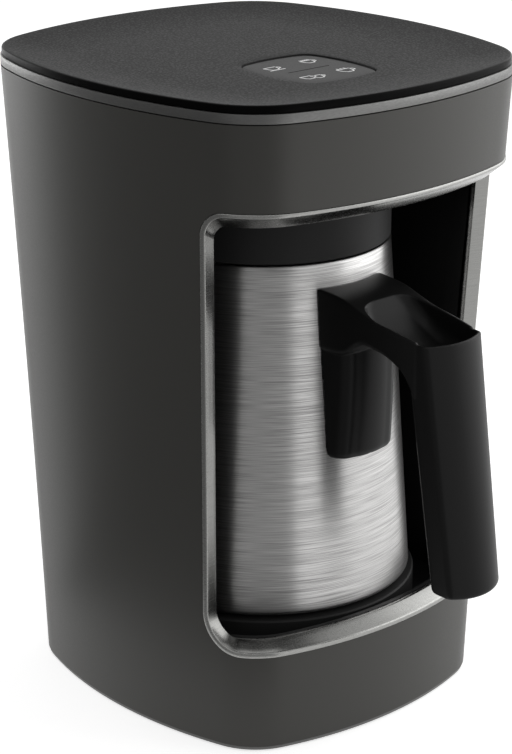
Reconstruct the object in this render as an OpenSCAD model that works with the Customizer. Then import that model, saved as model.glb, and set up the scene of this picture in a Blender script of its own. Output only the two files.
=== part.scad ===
// Electric maker for small foamed coffees: a flared housing on a worktop, an open
// bay in its front and a steel pot that slides out of the bay by its handle.
// Millimetres. +Z is up, the bay opens towards -Y and +X is the right-hand side.
// Pieces are drawn about the housing's own axis; the last lines of the file move
// them together, so that the origin is the middle of the footprint, handle included.

/* [Housing] */
// Height of the head, from the bay's ceiling to the rim of the top panel
head_h = 43; // [41:0.5:50]
// Room beside the pot's foot, out to the foot of the shell
side_room = 14.8; // [14:0.1:18]
// Room before and behind the middle of the pot's foot, out to the foot of the shell
end_room = 20; // [19:0.1:24]
// How much wider the shell is at the top than at the foot
flare_w = 23.2; // [18:0.2:28]
// How much deeper the shell is at the top than at the foot
flare_d = 23.6; // [20:0.2:28]
// Radius of the bowed side walls at the top
side_r = 204; // [190:1:230]
// Radius of the bowed front and back at the top
end_r = 189; // [180:1:210]
// Radius of the upright corners at the top
corner_r = 35.9; // [33:0.1:40]
// Radius of the bowed side walls at the foot
base_side_r = 189.5; // [180:0.5:215]
// Radius of the bowed front and back at the foot
base_end_r = 165; // [158:1:190]
// Radius of the upright corners at the foot
base_corner_r = 27.2; // [25:0.1:31]
// How hollow the flare is, as a share of its spread
flare = 0.2; // [0:0.05:0.3]
// Wall of the shell
wall = 2.2; // [1.8:0.1:2.6]
// Height of the pale strip round the foot
foot_strip_h = 1.6; // [1:0.1:2.4]

/* [Top] */
// Height of the satin ring under the panel
ring_h = 3.8; // [3:0.1:5]
// Dark seam between shell and ring
seam = 0.4; // [0.2:0.1:0.8]
// Height of the panel's glossy edge
panel_edge_h = 3.2; // [2.8:0.1:4]
// How far the panel is dished
dish = 3; // [2:0.1:3.2]
// Thickness of the panel at its middle
panel_t = 2.6; // [2.2:0.1:3]

/* [Control cap] */
// Width of the rocking cap
cap_w = 39.2; // [36:0.2:42]
// Depth of the rocking cap
cap_d = 44; // [40:0.5:46]
// Thickness of the cap
cap_t = 2.4; // [2:0.1:2.6]
// How far the cap lies under the panel
cap_sink = 0.5; // [0.3:0.1:0.8]
// Distance of the cap's middle in front of the housing's axis
cap_forward = 32.2; // [29:0.1:35]
// Gap round the cap
cap_gap = 0.4; // [0.3:0.05:0.6]
// Length of the groove across the cap
groove_len = 22; // [16:1:26]
// Radius of the ball that the cap rocks on
ball_r = 2.5; // [2:0.1:2.8]
// Side spacing of the four keys
key_dx = 19.4; // [17:0.2:21]
// Front to back spacing of the four keys
key_dy = 22; // [20:0.5:24]

/* [Window] */
// Height of the bead's lower edge above the bay's floor
window_under = 5.6; // [4.4:0.1:6]
// Height of the bead's upper edge above the bay's ceiling
window_over = 1.4; // [0.8:0.1:2.4]
// How far round the corners the window's lower end reaches, in degrees from the front
window_wrap_low = 74.8; // [73.6:0.1:75.4]
// How far round the corners its upper end reaches
window_wrap_high = 73.4; // [72:0.1:74.4]
// Corner radius of the window at the bottom, along the wall
window_r_low = 18; // [15:0.5:20]
// Corner radius of the window at the top, along the wall
window_r_high = 10; // [9:0.5:14]
// Width of the bead
bead_w = 2.3; // [1.8:0.1:2.6]
// How proud of the shell the bead stands
bead_proud = 0.35; // [0.2:0.05:0.6]
// Rise of the bevel from the bead to the lip
bevel_rise = 3.2; // [2.8:0.1:3.4]
// Depth of the bevel
bevel_depth = 6; // [5:0.5:7]
// Depth of the lip inside the bevel
lip = 1.5; // [1:0.1:2]
// Thickness of the frame's metal
frame_t = 1.1; // [0.9:0.1:1.3]

/* [Pot] */
// Distance of the pot's axis in front of the housing's axis
pot_forward = 6.6; // [5.6:0.1:7.6]
// Outer radius of the pot's rim
rim_r = 51.9; // [50:0.1:53]
// Outer radius of the pot's foot
foot_r = 62.5; // [60:0.1:63.2]
// Height of the pot's foot above the worktop
pot_z = 48.5; // [48.4:0.1:49.4]
// Height of the pot
pot_h = 146.2; // [142:0.1:147]
// Rounding of the pot's lower edge
pot_edge_r = 2; // [1.6:0.1:3]
// Wall of the pot
pot_wall = 1.2; // [0.9:0.1:1.5]
// How far the disc bonded under the pot lies inside the foot
disc_in = 5.5; // [4.5:0.1:8]
// Thickness of that disc
disc_t = 1.4; // [1:0.1:2]

/* [Handle] */
// Width of the block on the pot
block_w = 34.6; // [33:0.2:36]
// How far the block stands off the pot
block_out = 13; // [12.4:0.1:13.8]
// Height of the block's foot above the pot's foot
block_low = 65.5; // [63:0.5:68]
// Depth of the handle's shelf under the pot's rim
shelf_drop = 9.4; // [8:0.2:14]
// Width of the grip at the top
grip_w = 31.6; // [30:0.2:32.4]
// Width of the grip at its lower end
grip_end_w = 28.4; // [26:0.2:29]
// Thickness of the grip, front to back
grip_t = 13; // [12:0.2:15]
// How far the grip's front bows out
grip_bow = 3.4; // [3:0.1:4]
// Reach of the grip's top in front of the pot's axis
grip_reach = 116.5; // [114.5:0.1:118.5]
// Extra reach at the grip's lower end
grip_lean = 15.8; // [14:0.2:18]
// Height of the grip's lower end above the pot's foot
grip_low = 24.6; // [22:0.2:32]
// Wall round the open channel in the handle's top
channel_wall = 1.6; // [1.3:0.1:2]
// Depth of the channel at the grip
channel_deep = 13; // [10:0.5:16]

/* [Bay] */
// Wall of the bay's liner
liner_t = 2; // [1.6:0.1:2.2]
// Depth of the bay's floor under the pot's foot
floor_drop = 11.5; // [9.5:0.1:12]
// Gap between the pot's foot and the back of the bay
bay_back = 7; // [5:0.1:9]
// Gap between the pot's rim and the skirt above it
skirt_gap = 0.6; // [0.5:0.1:1.4]
// Height of the skirt, up to the bay's ceiling
skirt_h = 31.7; // [24:0.1:36]
// Wall of the skirt
skirt_t = 2.2; // [1.8:0.1:2.6]
// How far the pedestal stands out past the pot's foot
pedestal_rim = 1.5; // [1:0.1:2]
// Dark gap between the pot's foot and the pedestal
pedestal_gap = 1.2; // [1:0.1:1.8]

/* [Heater] */
// How far the heating plate lies inside the pot's foot
plate_in = 10.5; // [8:0.5:14]
// Thickness of the heating plate
plate_t = 4.4; // [3.5:0.1:5]
// Ring radius of the sheathed element
element_r = 37; // [34:0.5:40]
// Radius of the element's sheath
sheath_r = 3.2; // [2.8:0.1:3.5]
// Gap between the heating plate and the pot at rest
plate_gap = 0.3; // [0.2:0.05:0.5]
// Radius of the sprung temperature sensor
sensor_r = 7; // [6:0.25:8]
// Depth of the cup that guides the sensor
guide_depth = 17.8; // [15:0.2:20]

/* [Base and electronics] */
// Thickness of the base plate
base_t = 3; // [2.6:0.1:3.6]
// How far the feet stand below the base plate
foot_proud = 1.2; // [0.8:0.1:1.6]
// Radius of a rubber foot
foot_pad_r = 8; // [7:0.5:9]
// How far a foot's middle lies inside the base's side
feet_side_in = 25.3; // [24:0.1:27]
// How far a foot's middle lies inside the base's front and back
feet_end_in = 24.5; // [23.5:0.1:27]
// Radius of a screw's shank
screw_r = 1.5; // [1.3:0.1:1.7]
// Bore of the cord gland
gland_r = 3.6; // [3:0.1:4]
// Height of the cord gland
gland_z = 20; // [17:0.5:23]
// Length of the gland's bore
gland_len = 14; // [12:0.5:16]
// Thickness of the circuit boards
board_t = 1.6; // [1.2:0.1:2]

/* [Hidden] */

$fn = 64;
face_gap = 0.15;   // between pieces that seat in one another
run_gap = 0.05;    // radial play of a sliding or rocking fit

// Heights that several pieces share, from the pot up to the rim
rim_z = pot_z + pot_h;
skirt_low = rim_z + skirt_gap;
bay_floor = pot_z - floor_drop;
bay_ceiling = skirt_low + skirt_h;
window_low = bay_floor + window_under;
window_high = bay_ceiling + window_over;
height = bay_ceiling + head_h;
ring_z = height - panel_edge_h - ring_h;
shell_top = ring_z - seam;
shell_low = foot_proud - 0.6 + foot_strip_h;
panel_z = height - panel_edge_h;
panel_under = height - dish - panel_t;
cap_top = height - dish - cap_sink;
ball_z = cap_top - cap_t - ball_r + 0.4;
frame_drop = 17;      // from the panel's underside down to the frame that carries the control board
frame_z = panel_under - frame_drop;
frame_plate_t = 2.4;
board_z = frame_z + frame_plate_t + 2;
switch_h = 3.5;
base_top = foot_proud + base_t;
plate_top = pot_z - plate_gap;
pedestal_top = pot_z - pedestal_gap;

// Plan sizes that several pieces share, from the pot outwards
base_w = 2 * (foot_r + side_room);
base_d = 2 * (foot_r + end_room);
top_w = base_w + flare_w;
top_d = base_d + flare_d;
disc_r = foot_r - disc_in;
plate_r = foot_r - plate_in;
pedestal_r = foot_r + pedestal_rim;
bay_deep = foot_r + bay_back;     // from the pot's axis to the back of the bay

// ---- Outline of the housing: eight tangent arcs ----

side_steps = 4;
corner_steps = 7;
end_steps = 5;

function mix(a, b, s) = a + (b - a) * s;

// Middle of the corner arc between a side arc and an end arc
function corner_middle(a, b, ra, rb, rc) =
    let (
        span = norm([a - ra, b - rb]),
        dir = [ra - a, b - rb] / span,
        along = ((ra - rc) ^ 2 - (rb - rc) ^ 2 + span ^ 2) / (2 * span),
        off = sqrt((ra - rc) ^ 2 - along ^ 2),
        foot = [a - ra, 0] + along * dir,
        one = foot + off * [-dir.y, dir.x],
        two = foot - off * [-dir.y, dir.x]
    ) one.x + one.y > two.x + two.y ? one : two;

// [half width, half depth, side radius, end radius, corner radius] at a height, moved in by inset
function sizes_at(z, inset = 0) =
    let (t = z / ring_z, s = t - flare * t * (1 - t))
    [mix(base_w, top_w, s) / 2 - inset, mix(base_d, top_d, s) / 2 - inset,
     mix(base_side_r, side_r, s) - inset, mix(base_end_r, end_r, s) - inset,
     mix(base_corner_r, corner_r, s) - inset];

function arc(middle, r, from, to, steps) =
    [for (i = [0:steps]) let (t = mix(from, to, i / steps)) middle + r * [cos(t), sin(t)]];

function but_last(list) = [for (i = [0:len(list) - 2]) list[i]];

function outline(s) =
    let (
        c = corner_middle(s[0], s[1], s[2], s[3], s[4]),
        t1 = atan2(c.y, c.x - (s[0] - s[2])),
        t2 = atan2(c.y - (s[1] - s[3]), c.x),
        quarter = concat(but_last(arc([s[0] - s[2], 0], s[2], 0, t1, side_steps)),
                         but_last(arc(c, s[4], t1, t2, corner_steps)),
                         arc([0, s[1] - s[3]], s[3], t2, 90, end_steps)),
        n = len(quarter)
    ) concat(quarter,
             [for (i = [n - 2:-1:0]) [-quarter[i].x, quarter[i].y]],
             [for (i = [1:n - 1]) -quarter[i]],
             [for (i = [n - 2:-1:1]) [quarter[i].x, -quarter[i].y]]);

function ring_at(z, inset = 0, level = undef) =
    let (h = is_undef(level) ? z : level) [for (p = outline(sizes_at(z, inset))) [p.x, p.y, h]];

// ---- Shapes from rings of points ----

// The convex step between two rings
module step(a, b) {
    n = len(a);
    hull() polyhedron(points = concat(a, b), faces = concat(
        [[for (k = [0:n - 1]) k], [for (k = [n - 1:-1:0]) n + k]],
        [for (k = [0:n - 1]) [k, n + k, n + (k + 1) % n, (k + 1) % n]]));
}

module loft(rings) {
    for (i = [0:len(rings) - 2]) step(rings[i], rings[i + 1]);
}

// A closed band: loops of equal length, the last joined to the first
module band(loops) {
    m = len(loops);
    n = len(loops[0]);
    polyhedron(points = [for (loop = loops) each loop],
               faces = [for (j = [0:m - 1], k = [0:n - 1], half = [0, 1])
                   let (a = j * n + k, b = ((j + 1) % m) * n + k,
                        c = ((j + 1) % m) * n + (k + 1) % n, d = j * n + (k + 1) % n)
                   half == 0 ? [a, b, c] : [a, c, d]]);
}

// A body of the housing's flare between two heights
module flared(low, high, inset, steps = 6) {
    loft([for (i = [0:steps]) ring_at(mix(low, high, i / steps), inset)]);
}

// A tube swept along points, with open ends capped
module tube(route, r, sides = 8) {
    last = len(route) - 1;
    rings = [for (i = [0:last])
        let (d = route[min(i + 1, last)] - route[max(i - 1, 0)], w = d / norm(d),
             up = abs(w.z) > 0.9 ? [1, 0, 0] : [0, 0, 1], u = cross(up, w) / norm(cross(up, w)),
             v = cross(w, u))
        [for (k = [0:sides - 1]) route[i] + r * (u * cos(360 * k / sides) + v * sin(360 * k / sides))]];
    polyhedron(points = [for (loop = rings) each loop], faces = concat(
        [[for (k = [0:sides - 1]) k]],
        [[for (k = [sides - 1:-1:0]) last * sides + k]],
        [for (i = [0:last - 1], k = [0:sides - 1], half = [0, 1])
            let (a = i * sides + k, b = a + sides,
                 c = (i + 1) * sides + (k + 1) % sides, d = c - sides)
            half == 0 ? [a, b, c] : [a, c, d]]));
}

// A flat strip bent along points of the Y-Z plane
module strip(route, w, t) {
    last = len(route) - 1;
    side = [for (i = [0:last])
        let (d = route[min(i + 1, last)] - route[max(i - 1, 0)]) t / 2 * [-d.y, d.x] / norm(d)];
    rotate([90, 0, 90]) translate([0, 0, -w / 2]) linear_extrude(w) polygon(concat(
        [for (i = [0:last]) route[i] + side[i]], [for (i = [last:-1:0]) route[i] - side[i]]));
}

// ---- Window: loops that lie on the front wall ----

across_steps = 14;
upright_steps = 4;
bend_steps = 5;

// A point on the wall: along is the distance round the wall from the front's middle.
// Returns [x, y, outward angle from the front].
function wall_point(along, z) =
    let (
        s = sizes_at(z), c = corner_middle(s[0], s[1], s[2], s[3], s[4]),
        end_deg = 90 - atan2(c.y - (s[1] - s[3]), c.x),
        side_deg = 90 - atan2(c.y, c.x - (s[0] - s[2])),
        end_len = s[3] * end_deg * PI / 180,
        corner_len = s[4] * (side_deg - end_deg) * PI / 180,
        u = abs(along),
        deg = u < end_len ? u / s[3] * 180 / PI
            : u < end_len + corner_len ? end_deg + (u - end_len) / s[4] * 180 / PI
            : side_deg + (u - end_len - corner_len) / s[2] * 180 / PI,
        o = u < end_len ? [0, s[3] - s[1]] : u < end_len + corner_len ? [c.x, -c.y] : [s[0] - s[2], 0],
        r = u < end_len ? s[3] : u < end_len + corner_len ? s[4] : s[2],
        p = o + r * [sin(deg), -cos(deg)]
    ) [sign(along) * p.x, p.y, sign(along) * deg];

// Distance round the wall from the front's middle to the window's side edge
function half_window(z) =
    let (
        s = sizes_at(z), c = corner_middle(s[0], s[1], s[2], s[3], s[4]),
        end_deg = 90 - atan2(c.y - (s[1] - s[3]), c.x),
        side_deg = 90 - atan2(c.y, c.x - (s[0] - s[2])),
        wrap = mix(window_wrap_low, window_wrap_high, (z - window_low) / (window_high - window_low))
    ) (s[3] * end_deg + s[4] * (side_deg - end_deg) + s[2] * (wrap - side_deg)) * PI / 180;

// The window's edge as [along, z], moved in by side_in and level_in, anticlockwise from outside
function window_edge(side_in, level_in, r_low, r_high) =
    let (
        low = window_low + level_in, high = window_high - level_in,
        w_low = half_window(low + r_low) - side_in, w_high = half_window(high - r_high) - side_in,
        right = concat(
            [for (i = [0:bend_steps]) let (t = mix(-90, 0, i / bend_steps))
                [w_low - r_low + r_low * cos(t), low + r_low + r_low * sin(t)]],
            [for (i = [1:upright_steps - 1]) let (z = mix(low + r_low, high - r_high, i / upright_steps))
                [half_window(z) - side_in, z]],
            [for (i = [0:bend_steps]) let (t = mix(0, 90, i / bend_steps))
                [w_high - r_high + r_high * cos(t), high - r_high + r_high * sin(t)]]),
        n = len(right)
    ) concat(
        right,
        [for (i = [1:across_steps - 1]) [mix(1, -1, i / across_steps) * (w_high - r_high), high]],
        [for (i = [n - 1:-1:0]) [-right[i].x, right[i].y]],
        [for (i = [1:across_steps - 1]) [mix(-1, 1, i / across_steps) * (w_low - r_low), low]]);

// The same edge in space, sunk into the housing by depth and moved back by back
function window_loop(side_in, level_in, r_low, r_high, depth, back = 0) =
    [for (e = window_edge(side_in, level_in, r_low, r_high))
        let (p = wall_point(e.x, e.y))
        [p.x - depth * sin(p.z), p.y + depth * cos(p.z) + back, e.y]];

// Everything in front of the window's edge: cuts the window out of the shell
module window_cutter() {
    outer = window_loop(-face_gap, -face_gap, window_r_low, window_r_high, -3);
    inner = window_loop(-face_gap, -face_gap, window_r_low, window_r_high, wall + 4);
    n = len(outer);
    middle = (window_low + window_high) / 2;
    polyhedron(points = concat(outer, inner, [[0, -4 * top_d, middle], [0, 0, middle]]),
               faces = [for (k = [0:n - 1]) let (m = (k + 1) % n)
                   each [[2 * n, m, k], [k, m, n + m], [k, n + m, n + k], [2 * n + 1, n + k, n + m]]]);
}

// ---- Housing ----

module body_shell() color("#4b4b48") difference() {
    flared(shell_low, shell_top, 0, 8);
    flared(shell_low - 1, shell_top + 1, wall, 8);
    window_cutter();
    translate([0, 0, gland_z]) rotate([-90, 0, 0]) cylinder(r = gland_r + 3.2, h = base_d, $fn = 32);
}

module window_frame() color("#8f8f8f") {
    r_in_low = window_r_low - 6;
    r_in_high = window_r_high - 4;
    rise = bead_w + bevel_rise;
    band([
        window_loop(0, 0, window_r_low, window_r_high, -bead_proud),
        window_loop(bead_w, bead_w, window_r_low - bead_w, window_r_high - bead_w, -bead_proud),
        window_loop(bead_w, rise, r_in_low, r_in_high, bevel_depth),
        window_loop(bead_w, rise, r_in_low, r_in_high, bevel_depth, lip),
        window_loop(bead_w - frame_t, rise - frame_t, r_in_low, r_in_high, bevel_depth + 0.3, lip),
        window_loop(frame_t, frame_t, window_r_low - 1, window_r_high - 1, wall - 0.3),
        window_loop(0, 0, window_r_low, window_r_high, wall - 0.3)]);
}

module foot_strip() color("#a8a8a4") translate([0, 0, foot_proud - 0.6])
    linear_extrude(foot_strip_h) difference() {
        polygon(outline(sizes_at(0, 0.4)));
        polygon(outline(sizes_at(0, 3)));
    }

module at_feet() {
    for (x = [-1, 1], y = [-1, 1]) translate([x * (base_w / 2 - feet_side_in), y * (base_d / 2 - feet_end_in), 0]) children();
}

// Places of the screw bosses that hang from the bay's floor to the base plate
boss_places = [for (x = [-1, 1]) each [[x * (foot_r - 12.5), -44], [x * (foot_r - 20.5), 36]]];
post_r = 4;

module at_posts() {
    for (p = boss_places) translate([p.x, p.y, 0]) children();
}

foot_sink = 1.8;
screw_head_r = 3;
screw_head_h = 2.2;
slot_w = 2.6;
slot_len = 44;
slot_pitch = 6;
base_screw_z = base_top - 1.2;   // underside of the base screws' heads

module base_plate() color("#202020") difference() {
    union() {
        translate([0, 0, foot_proud]) linear_extrude(base_t) polygon(outline(sizes_at(0, 3 + face_gap)));
        // seat of the cord's clamp
        translate([-14, clamp_y - 2, base_top - 1]) cube([28, clamp_l + 7, clamp_z - base_top + 1]);
    }
    at_feet() translate([0, 0, -1]) cylinder(r = foot_pad_r + face_gap, h = foot_proud + foot_sink + 1);
    at_posts() {
        translate([0, 0, -1]) cylinder(r = screw_head_r + 0.3, h = base_screw_z + 1);
        translate([0, 0, -1]) cylinder(r = screw_r + 0.1, h = base_top + 2);
    }
    // air slots under the heater
    for (i = [-5:5])
        translate([i * slot_pitch - slot_w / 2, -pot_forward - slot_len / 2, -1]) cube([slot_w, slot_len, base_top + 2]);
}

module rubber_feet() color("#161616") at_feet() {
    translate([0, 0, 0.8]) cylinder(r = foot_pad_r, h = foot_proud + foot_sink - 0.8);
    cylinder(r1 = foot_pad_r - 1, r2 = foot_pad_r, h = 0.8);
}

// A pan-head screw, head down, its head's underside at z = 0
module screw(r, length, head_r, head_h) {
    translate([0, 0, -head_h]) cylinder(r = head_r, h = head_h);
    cylinder(r = r, h = length);
}

module base_screws() color("#9a9a9a") at_posts()
    translate([0, 0, base_screw_z - 0.05]) screw(screw_r, 12, screw_head_r, base_screw_z - 0.3);

// ---- Bay ----

// Half width of the bay at a height, just outside the frame's lip
function bay_half(z) =
    let (p = wall_point(half_window(z) - bead_w, z)) p.x - bevel_depth * sin(p.z) + 0.3;

bay_steps = 20;

// Plan of the bay: straight sides and a round back about the pot's axis
function bay_ring(z, grow) =
    let (r = bay_half(z) + grow, deep = bay_deep + grow)
    concat([[-r, -top_d, z], [r, -top_d, z]],
           [for (i = [0:bay_steps]) let (t = 180 * i / bay_steps) [r * cos(t), deep * sin(t) - pot_forward, z]]);

// The housing's plan, drawn in to lie just behind the window frame
function behind_frame(z, more) =
    let (s = sizes_at(z), front = bevel_depth + lip + 0.9, side = bevel_depth + 1)
    [for (p = outline([s[0] - side - more, s[1] - front - more, s[2], s[3], s[4]])) [p.x, p.y, z]];

module behind_frame_body(low, high, more) {
    steps = 3;
    loft([for (i = [0:steps]) behind_frame(mix(low, high, i / steps), more)]);
}

module bay_liner() color("#0d0d0d") {
    lip_low = window_low + bead_w + bevel_rise - 0.3;
    lip_high = window_high - bead_w - bevel_rise + 0.3;
    difference() {
        union() {
            intersection() {
                step(bay_ring(bay_floor - liner_t, liner_t), bay_ring(bay_ceiling + liner_t, liner_t));
                behind_frame_body(bay_floor - liner_t, bay_ceiling + liner_t, 0);
            }
            at_posts() translate([0, 0, base_top]) cylinder(r = post_r, h = bay_floor - liner_t / 2 - base_top, $fn = 24);
            at_board_screws() translate([0, 0, board_t + 0.1]) cylinder(r = post_r, h = board_gap + liner_t + 12, $fn = 24);
        }
        intersection() {
            step(bay_ring(bay_floor, 0), bay_ring(bay_ceiling, 0));
            behind_frame_body(bay_floor, bay_ceiling, liner_t);
        }
        intersection() {
            step(bay_ring(lip_low, 0), bay_ring(lip_high, 0));
            translate([-top_w, -2 * top_d, 0]) cube([2 * top_w, 2 * top_d - pot_forward - foot_r / 2, height]);
        }
        // way down for the heater and way up for the foam sensor
        translate([0, -pot_forward, bay_floor - liner_t - 1]) cylinder(r = plate_r + 3, h = liner_t + 2, $fn = 48);
        translate([0, -pot_forward, bay_ceiling - 1]) cylinder(r = 12, h = liner_t + 2, $fn = 32);
        // screw holes
        at_posts() translate([0, 0, base_top - 1]) cylinder(r = screw_r + 0.1, h = 14, $fn = 16);
        at_board_screws() cylinder(r = screw_r + 0.1, h = board_t + 8, $fn = 16);
        translate([0, -pot_forward, bay_ceiling - 1]) at_skirt_screws() cylinder(r = screw_r + 0.1, h = liner_t + 2, $fn = 16);
    }
}

module pedestal() color("#3a3a3a") translate([0, -pot_forward, 0]) rotate_extrude()
    polygon([[plate_r + 3.2, bay_floor], [pedestal_r, bay_floor], [pedestal_r, pedestal_top - 0.6],
             [pedestal_r - 0.6, pedestal_top], [plate_r + 0.3, pedestal_top], [plate_r + 0.3, plate_top - plate_t],
             [plate_r - 3, plate_top - plate_t], [plate_r - 3, plate_top - plate_t - 1.6],
             [plate_r + 3.2, plate_top - plate_t - 1.6]]);

module heating_plate() color("#b5b5b2") translate([0, -pot_forward, plate_top - plate_t]) difference() {
    rotate_extrude() polygon([[0, 0], [plate_r, 0], [plate_r, plate_t - 0.6], [plate_r - 0.6, plate_t], [0, plate_t]]);
    translate([0, 0, -1]) cylinder(r = sensor_r + run_gap, h = plate_t + 2);
}

element_open = 40;   // degrees left open between the element's cold ends

module heating_element() color("#6f6a60") translate([0, -pot_forward, plate_top - plate_t - sheath_r])
    rotate([0, 0, 90 + element_open / 2]) {
        rotate_extrude(angle = 360 - element_open) translate([element_r, 0]) circle(r = sheath_r);
        for (t = [0, -element_open]) rotate([0, 0, t]) translate([element_r, 0, 0]) {
            translate([0, 0, -14]) cylinder(r = sheath_r - 0.4, h = 14);
            translate([-0.4, -3.1, -21]) cube([0.8, 6.2, 7.2]);
        }
    }

cutout_r = 8;

module thermal_cutouts() color("#c9c2b0") for (x = [-1, 1])
    translate([x * 21, -pot_forward - 8, plate_top - plate_t]) {
        translate([0, 0, -9]) cylinder(r = cutout_r, h = 9);
        translate([0, 0, -9]) for (y = [-1, 1]) translate([-3, y * 5 - 0.4, -6]) cube([6, 0.8, 6.2]);
    }

sensor_flange = 1.4;
sensor_flange_t = 1;
sensor_h = plate_t + sensor_flange_t + run_gap;
plate_under = plate_top - plate_t;
guide_r = sensor_r + sensor_flange + 0.1;
guide_t = 1.2;
guide_floor = plate_under - guide_depth + guide_t;
spring_wire = 0.5;
spring_turns = 6;
spring_r = sensor_r - 2.4;
spring_top = plate_top - 1.2;

// Cup under the plate in which the sensor slides
module sensor_guide() color("#a8a8a4") translate([0, -pot_forward, plate_under]) rotate_extrude()
    polygon([[2, -guide_depth], [guide_r + guide_t, -guide_depth], [guide_r + guide_t, -guide_t],
             [guide_r + 4, -guide_t], [guide_r + 4, 0], [guide_r, 0],
             [guide_r, guide_t - guide_depth], [2, guide_t - guide_depth]]);

// Hollow sprung cup that touches the pot's base
module sensor_button() color("#d0d0cc") translate([0, -pot_forward, plate_top - sensor_h]) rotate_extrude()
    polygon([[0, sensor_h - 1.2], [sensor_r - 1.2, sensor_h - 1.2], [sensor_r - 1.2, 0], [sensor_r + sensor_flange, 0],
             [sensor_r + sensor_flange, sensor_flange_t], [sensor_r, sensor_flange_t], [sensor_r, sensor_h - 0.5],
             [sensor_r - 0.5, sensor_h], [0, sensor_h]]);

module sensor_spring() color("#8d8d8d") translate([0, -pot_forward, 0]) {
    coil = 12;
    last = spring_turns * coil;
    tube([for (i = [0:last])
        [spring_r * cos(360 * i / coil), spring_r * sin(360 * i / coil),
         mix(guide_floor + spring_wire, spring_top - spring_wire, i / last)]], spring_wire, 6);
}

// ---- Head above the pot ----

skirt_plate_z = skirt_low + 6;
lens_r = 8;

module head_skirt() color("#3a3a3a") translate([0, -pot_forward, 0]) difference() {
    rotate_extrude() polygon([
        [lens_r + 0.1, skirt_plate_z], [rim_r - skirt_t, skirt_plate_z], [rim_r - skirt_t, skirt_low],
        [rim_r - 0.5, skirt_low], [rim_r, skirt_low + 0.5], [rim_r, bay_ceiling],
        [rim_r - 10, bay_ceiling], [rim_r - 10, bay_ceiling - 3], [rim_r - skirt_t, bay_ceiling - 3],
        [rim_r - skirt_t, skirt_plate_z + 2], [lens_r + 0.1, skirt_plate_z + 2]]);
    at_skirt_screws() translate([0, 0, bay_ceiling - 4]) cylinder(r = screw_r + run_gap, h = 5);
}

module at_skirt_screws() {
    for (t = [30:120:270]) rotate([0, 0, t]) translate([rim_r - 6, 0, 0]) children();
}

module skirt_screws() color("#9a9a9a") translate([0, -pot_forward, bay_ceiling + liner_t]) at_skirt_screws()
    mirror([0, 0, 1]) translate([0, 0, -0.02]) screw(screw_r, liner_t + 2.6, screw_head_r, screw_head_h);

module foam_sensor_lens() color("#5a2020") translate([0, -pot_forward, skirt_plate_z]) rotate_extrude()
    polygon([[0, -1], [lens_r - 1.5, -0.4], [lens_r, 0], [lens_r, 2], [lens_r + 1.6, 2], [lens_r + 1.6, 3.2], [0, 3.2]]);

module foam_sensor_board() color("#20522e") translate([0, -pot_forward, skirt_plate_z + 3.2]) {
    translate([-13, -11, 0]) cube([26, 22, board_t]);
    translate([-2.5, -2.5, board_t]) cube([5, 5, 4]);
    translate([6, -6, board_t]) cube([5, 12, 6]);
}

// ---- Top ----

module satin_ring() color("#b9b9b7") translate([0, 0, ring_z]) difference() {
    linear_extrude(ring_h) polygon(outline(sizes_at(ring_z)));
    translate([0, 0, -1]) linear_extrude(ring_h + 2) polygon(outline(sizes_at(ring_z, 4)));
}

panel_rim = 0.6;    // how much narrower the panel is than the ring
dish_steps = 6;
dish_w = 34;        // width of the slope from rim to flat

cap_side_r = 80;    // radii of the cap's bowed edges and of its corners
cap_end_r = 70;
cap_corner_r = 4;

// Plan of the control cap, grown by grow
function cap_outline(grow) = outline(
    [cap_w / 2 + grow, cap_d / 2 + grow, cap_side_r + grow, cap_end_r + grow, cap_corner_r + grow]);

module top_panel() color("#262626") difference() {
    union() {
        loft([ring_at(ring_z, panel_rim, panel_z), ring_at(ring_z, panel_rim, height - 0.5),
              ring_at(ring_z, panel_rim + 0.5, height)]);
        loft([ring_at(ring_z, 4 + face_gap, panel_under), ring_at(ring_z, 4 + face_gap, panel_z)]);
    }
    // the dish: steep at the rim, easing to flat
    loft([for (i = [0:dish_steps]) let (s = i / dish_steps)
        ring_at(ring_z, mix(dish_w, panel_rim + 1.2, s), height - dish * (1 - s ^ 2) + (i == dish_steps ? 0.3 : 0))]);
    translate([0, -cap_forward, panel_under - 1]) linear_extrude(panel_t + 4) polygon(cap_outline(cap_gap));
}

frame_posts = [for (x = [-1, 1], y = [-1, 1]) [x * (top_w / 2 - 32.9), y * (top_d / 2 - 38.3)]];
frame_wall_x = 46;     // walls that stand on the bay's ceiling
frame_wall_t = 3;
frame_wall_l = 80;
pillar_x = 28;         // short pillars under the control board
pillar_y = 24;
ribbon_w = 9;
ribbon_t = 1.2;
ribbon_slot_y = 61;    // where the ribbon cable passes through the frame

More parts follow.
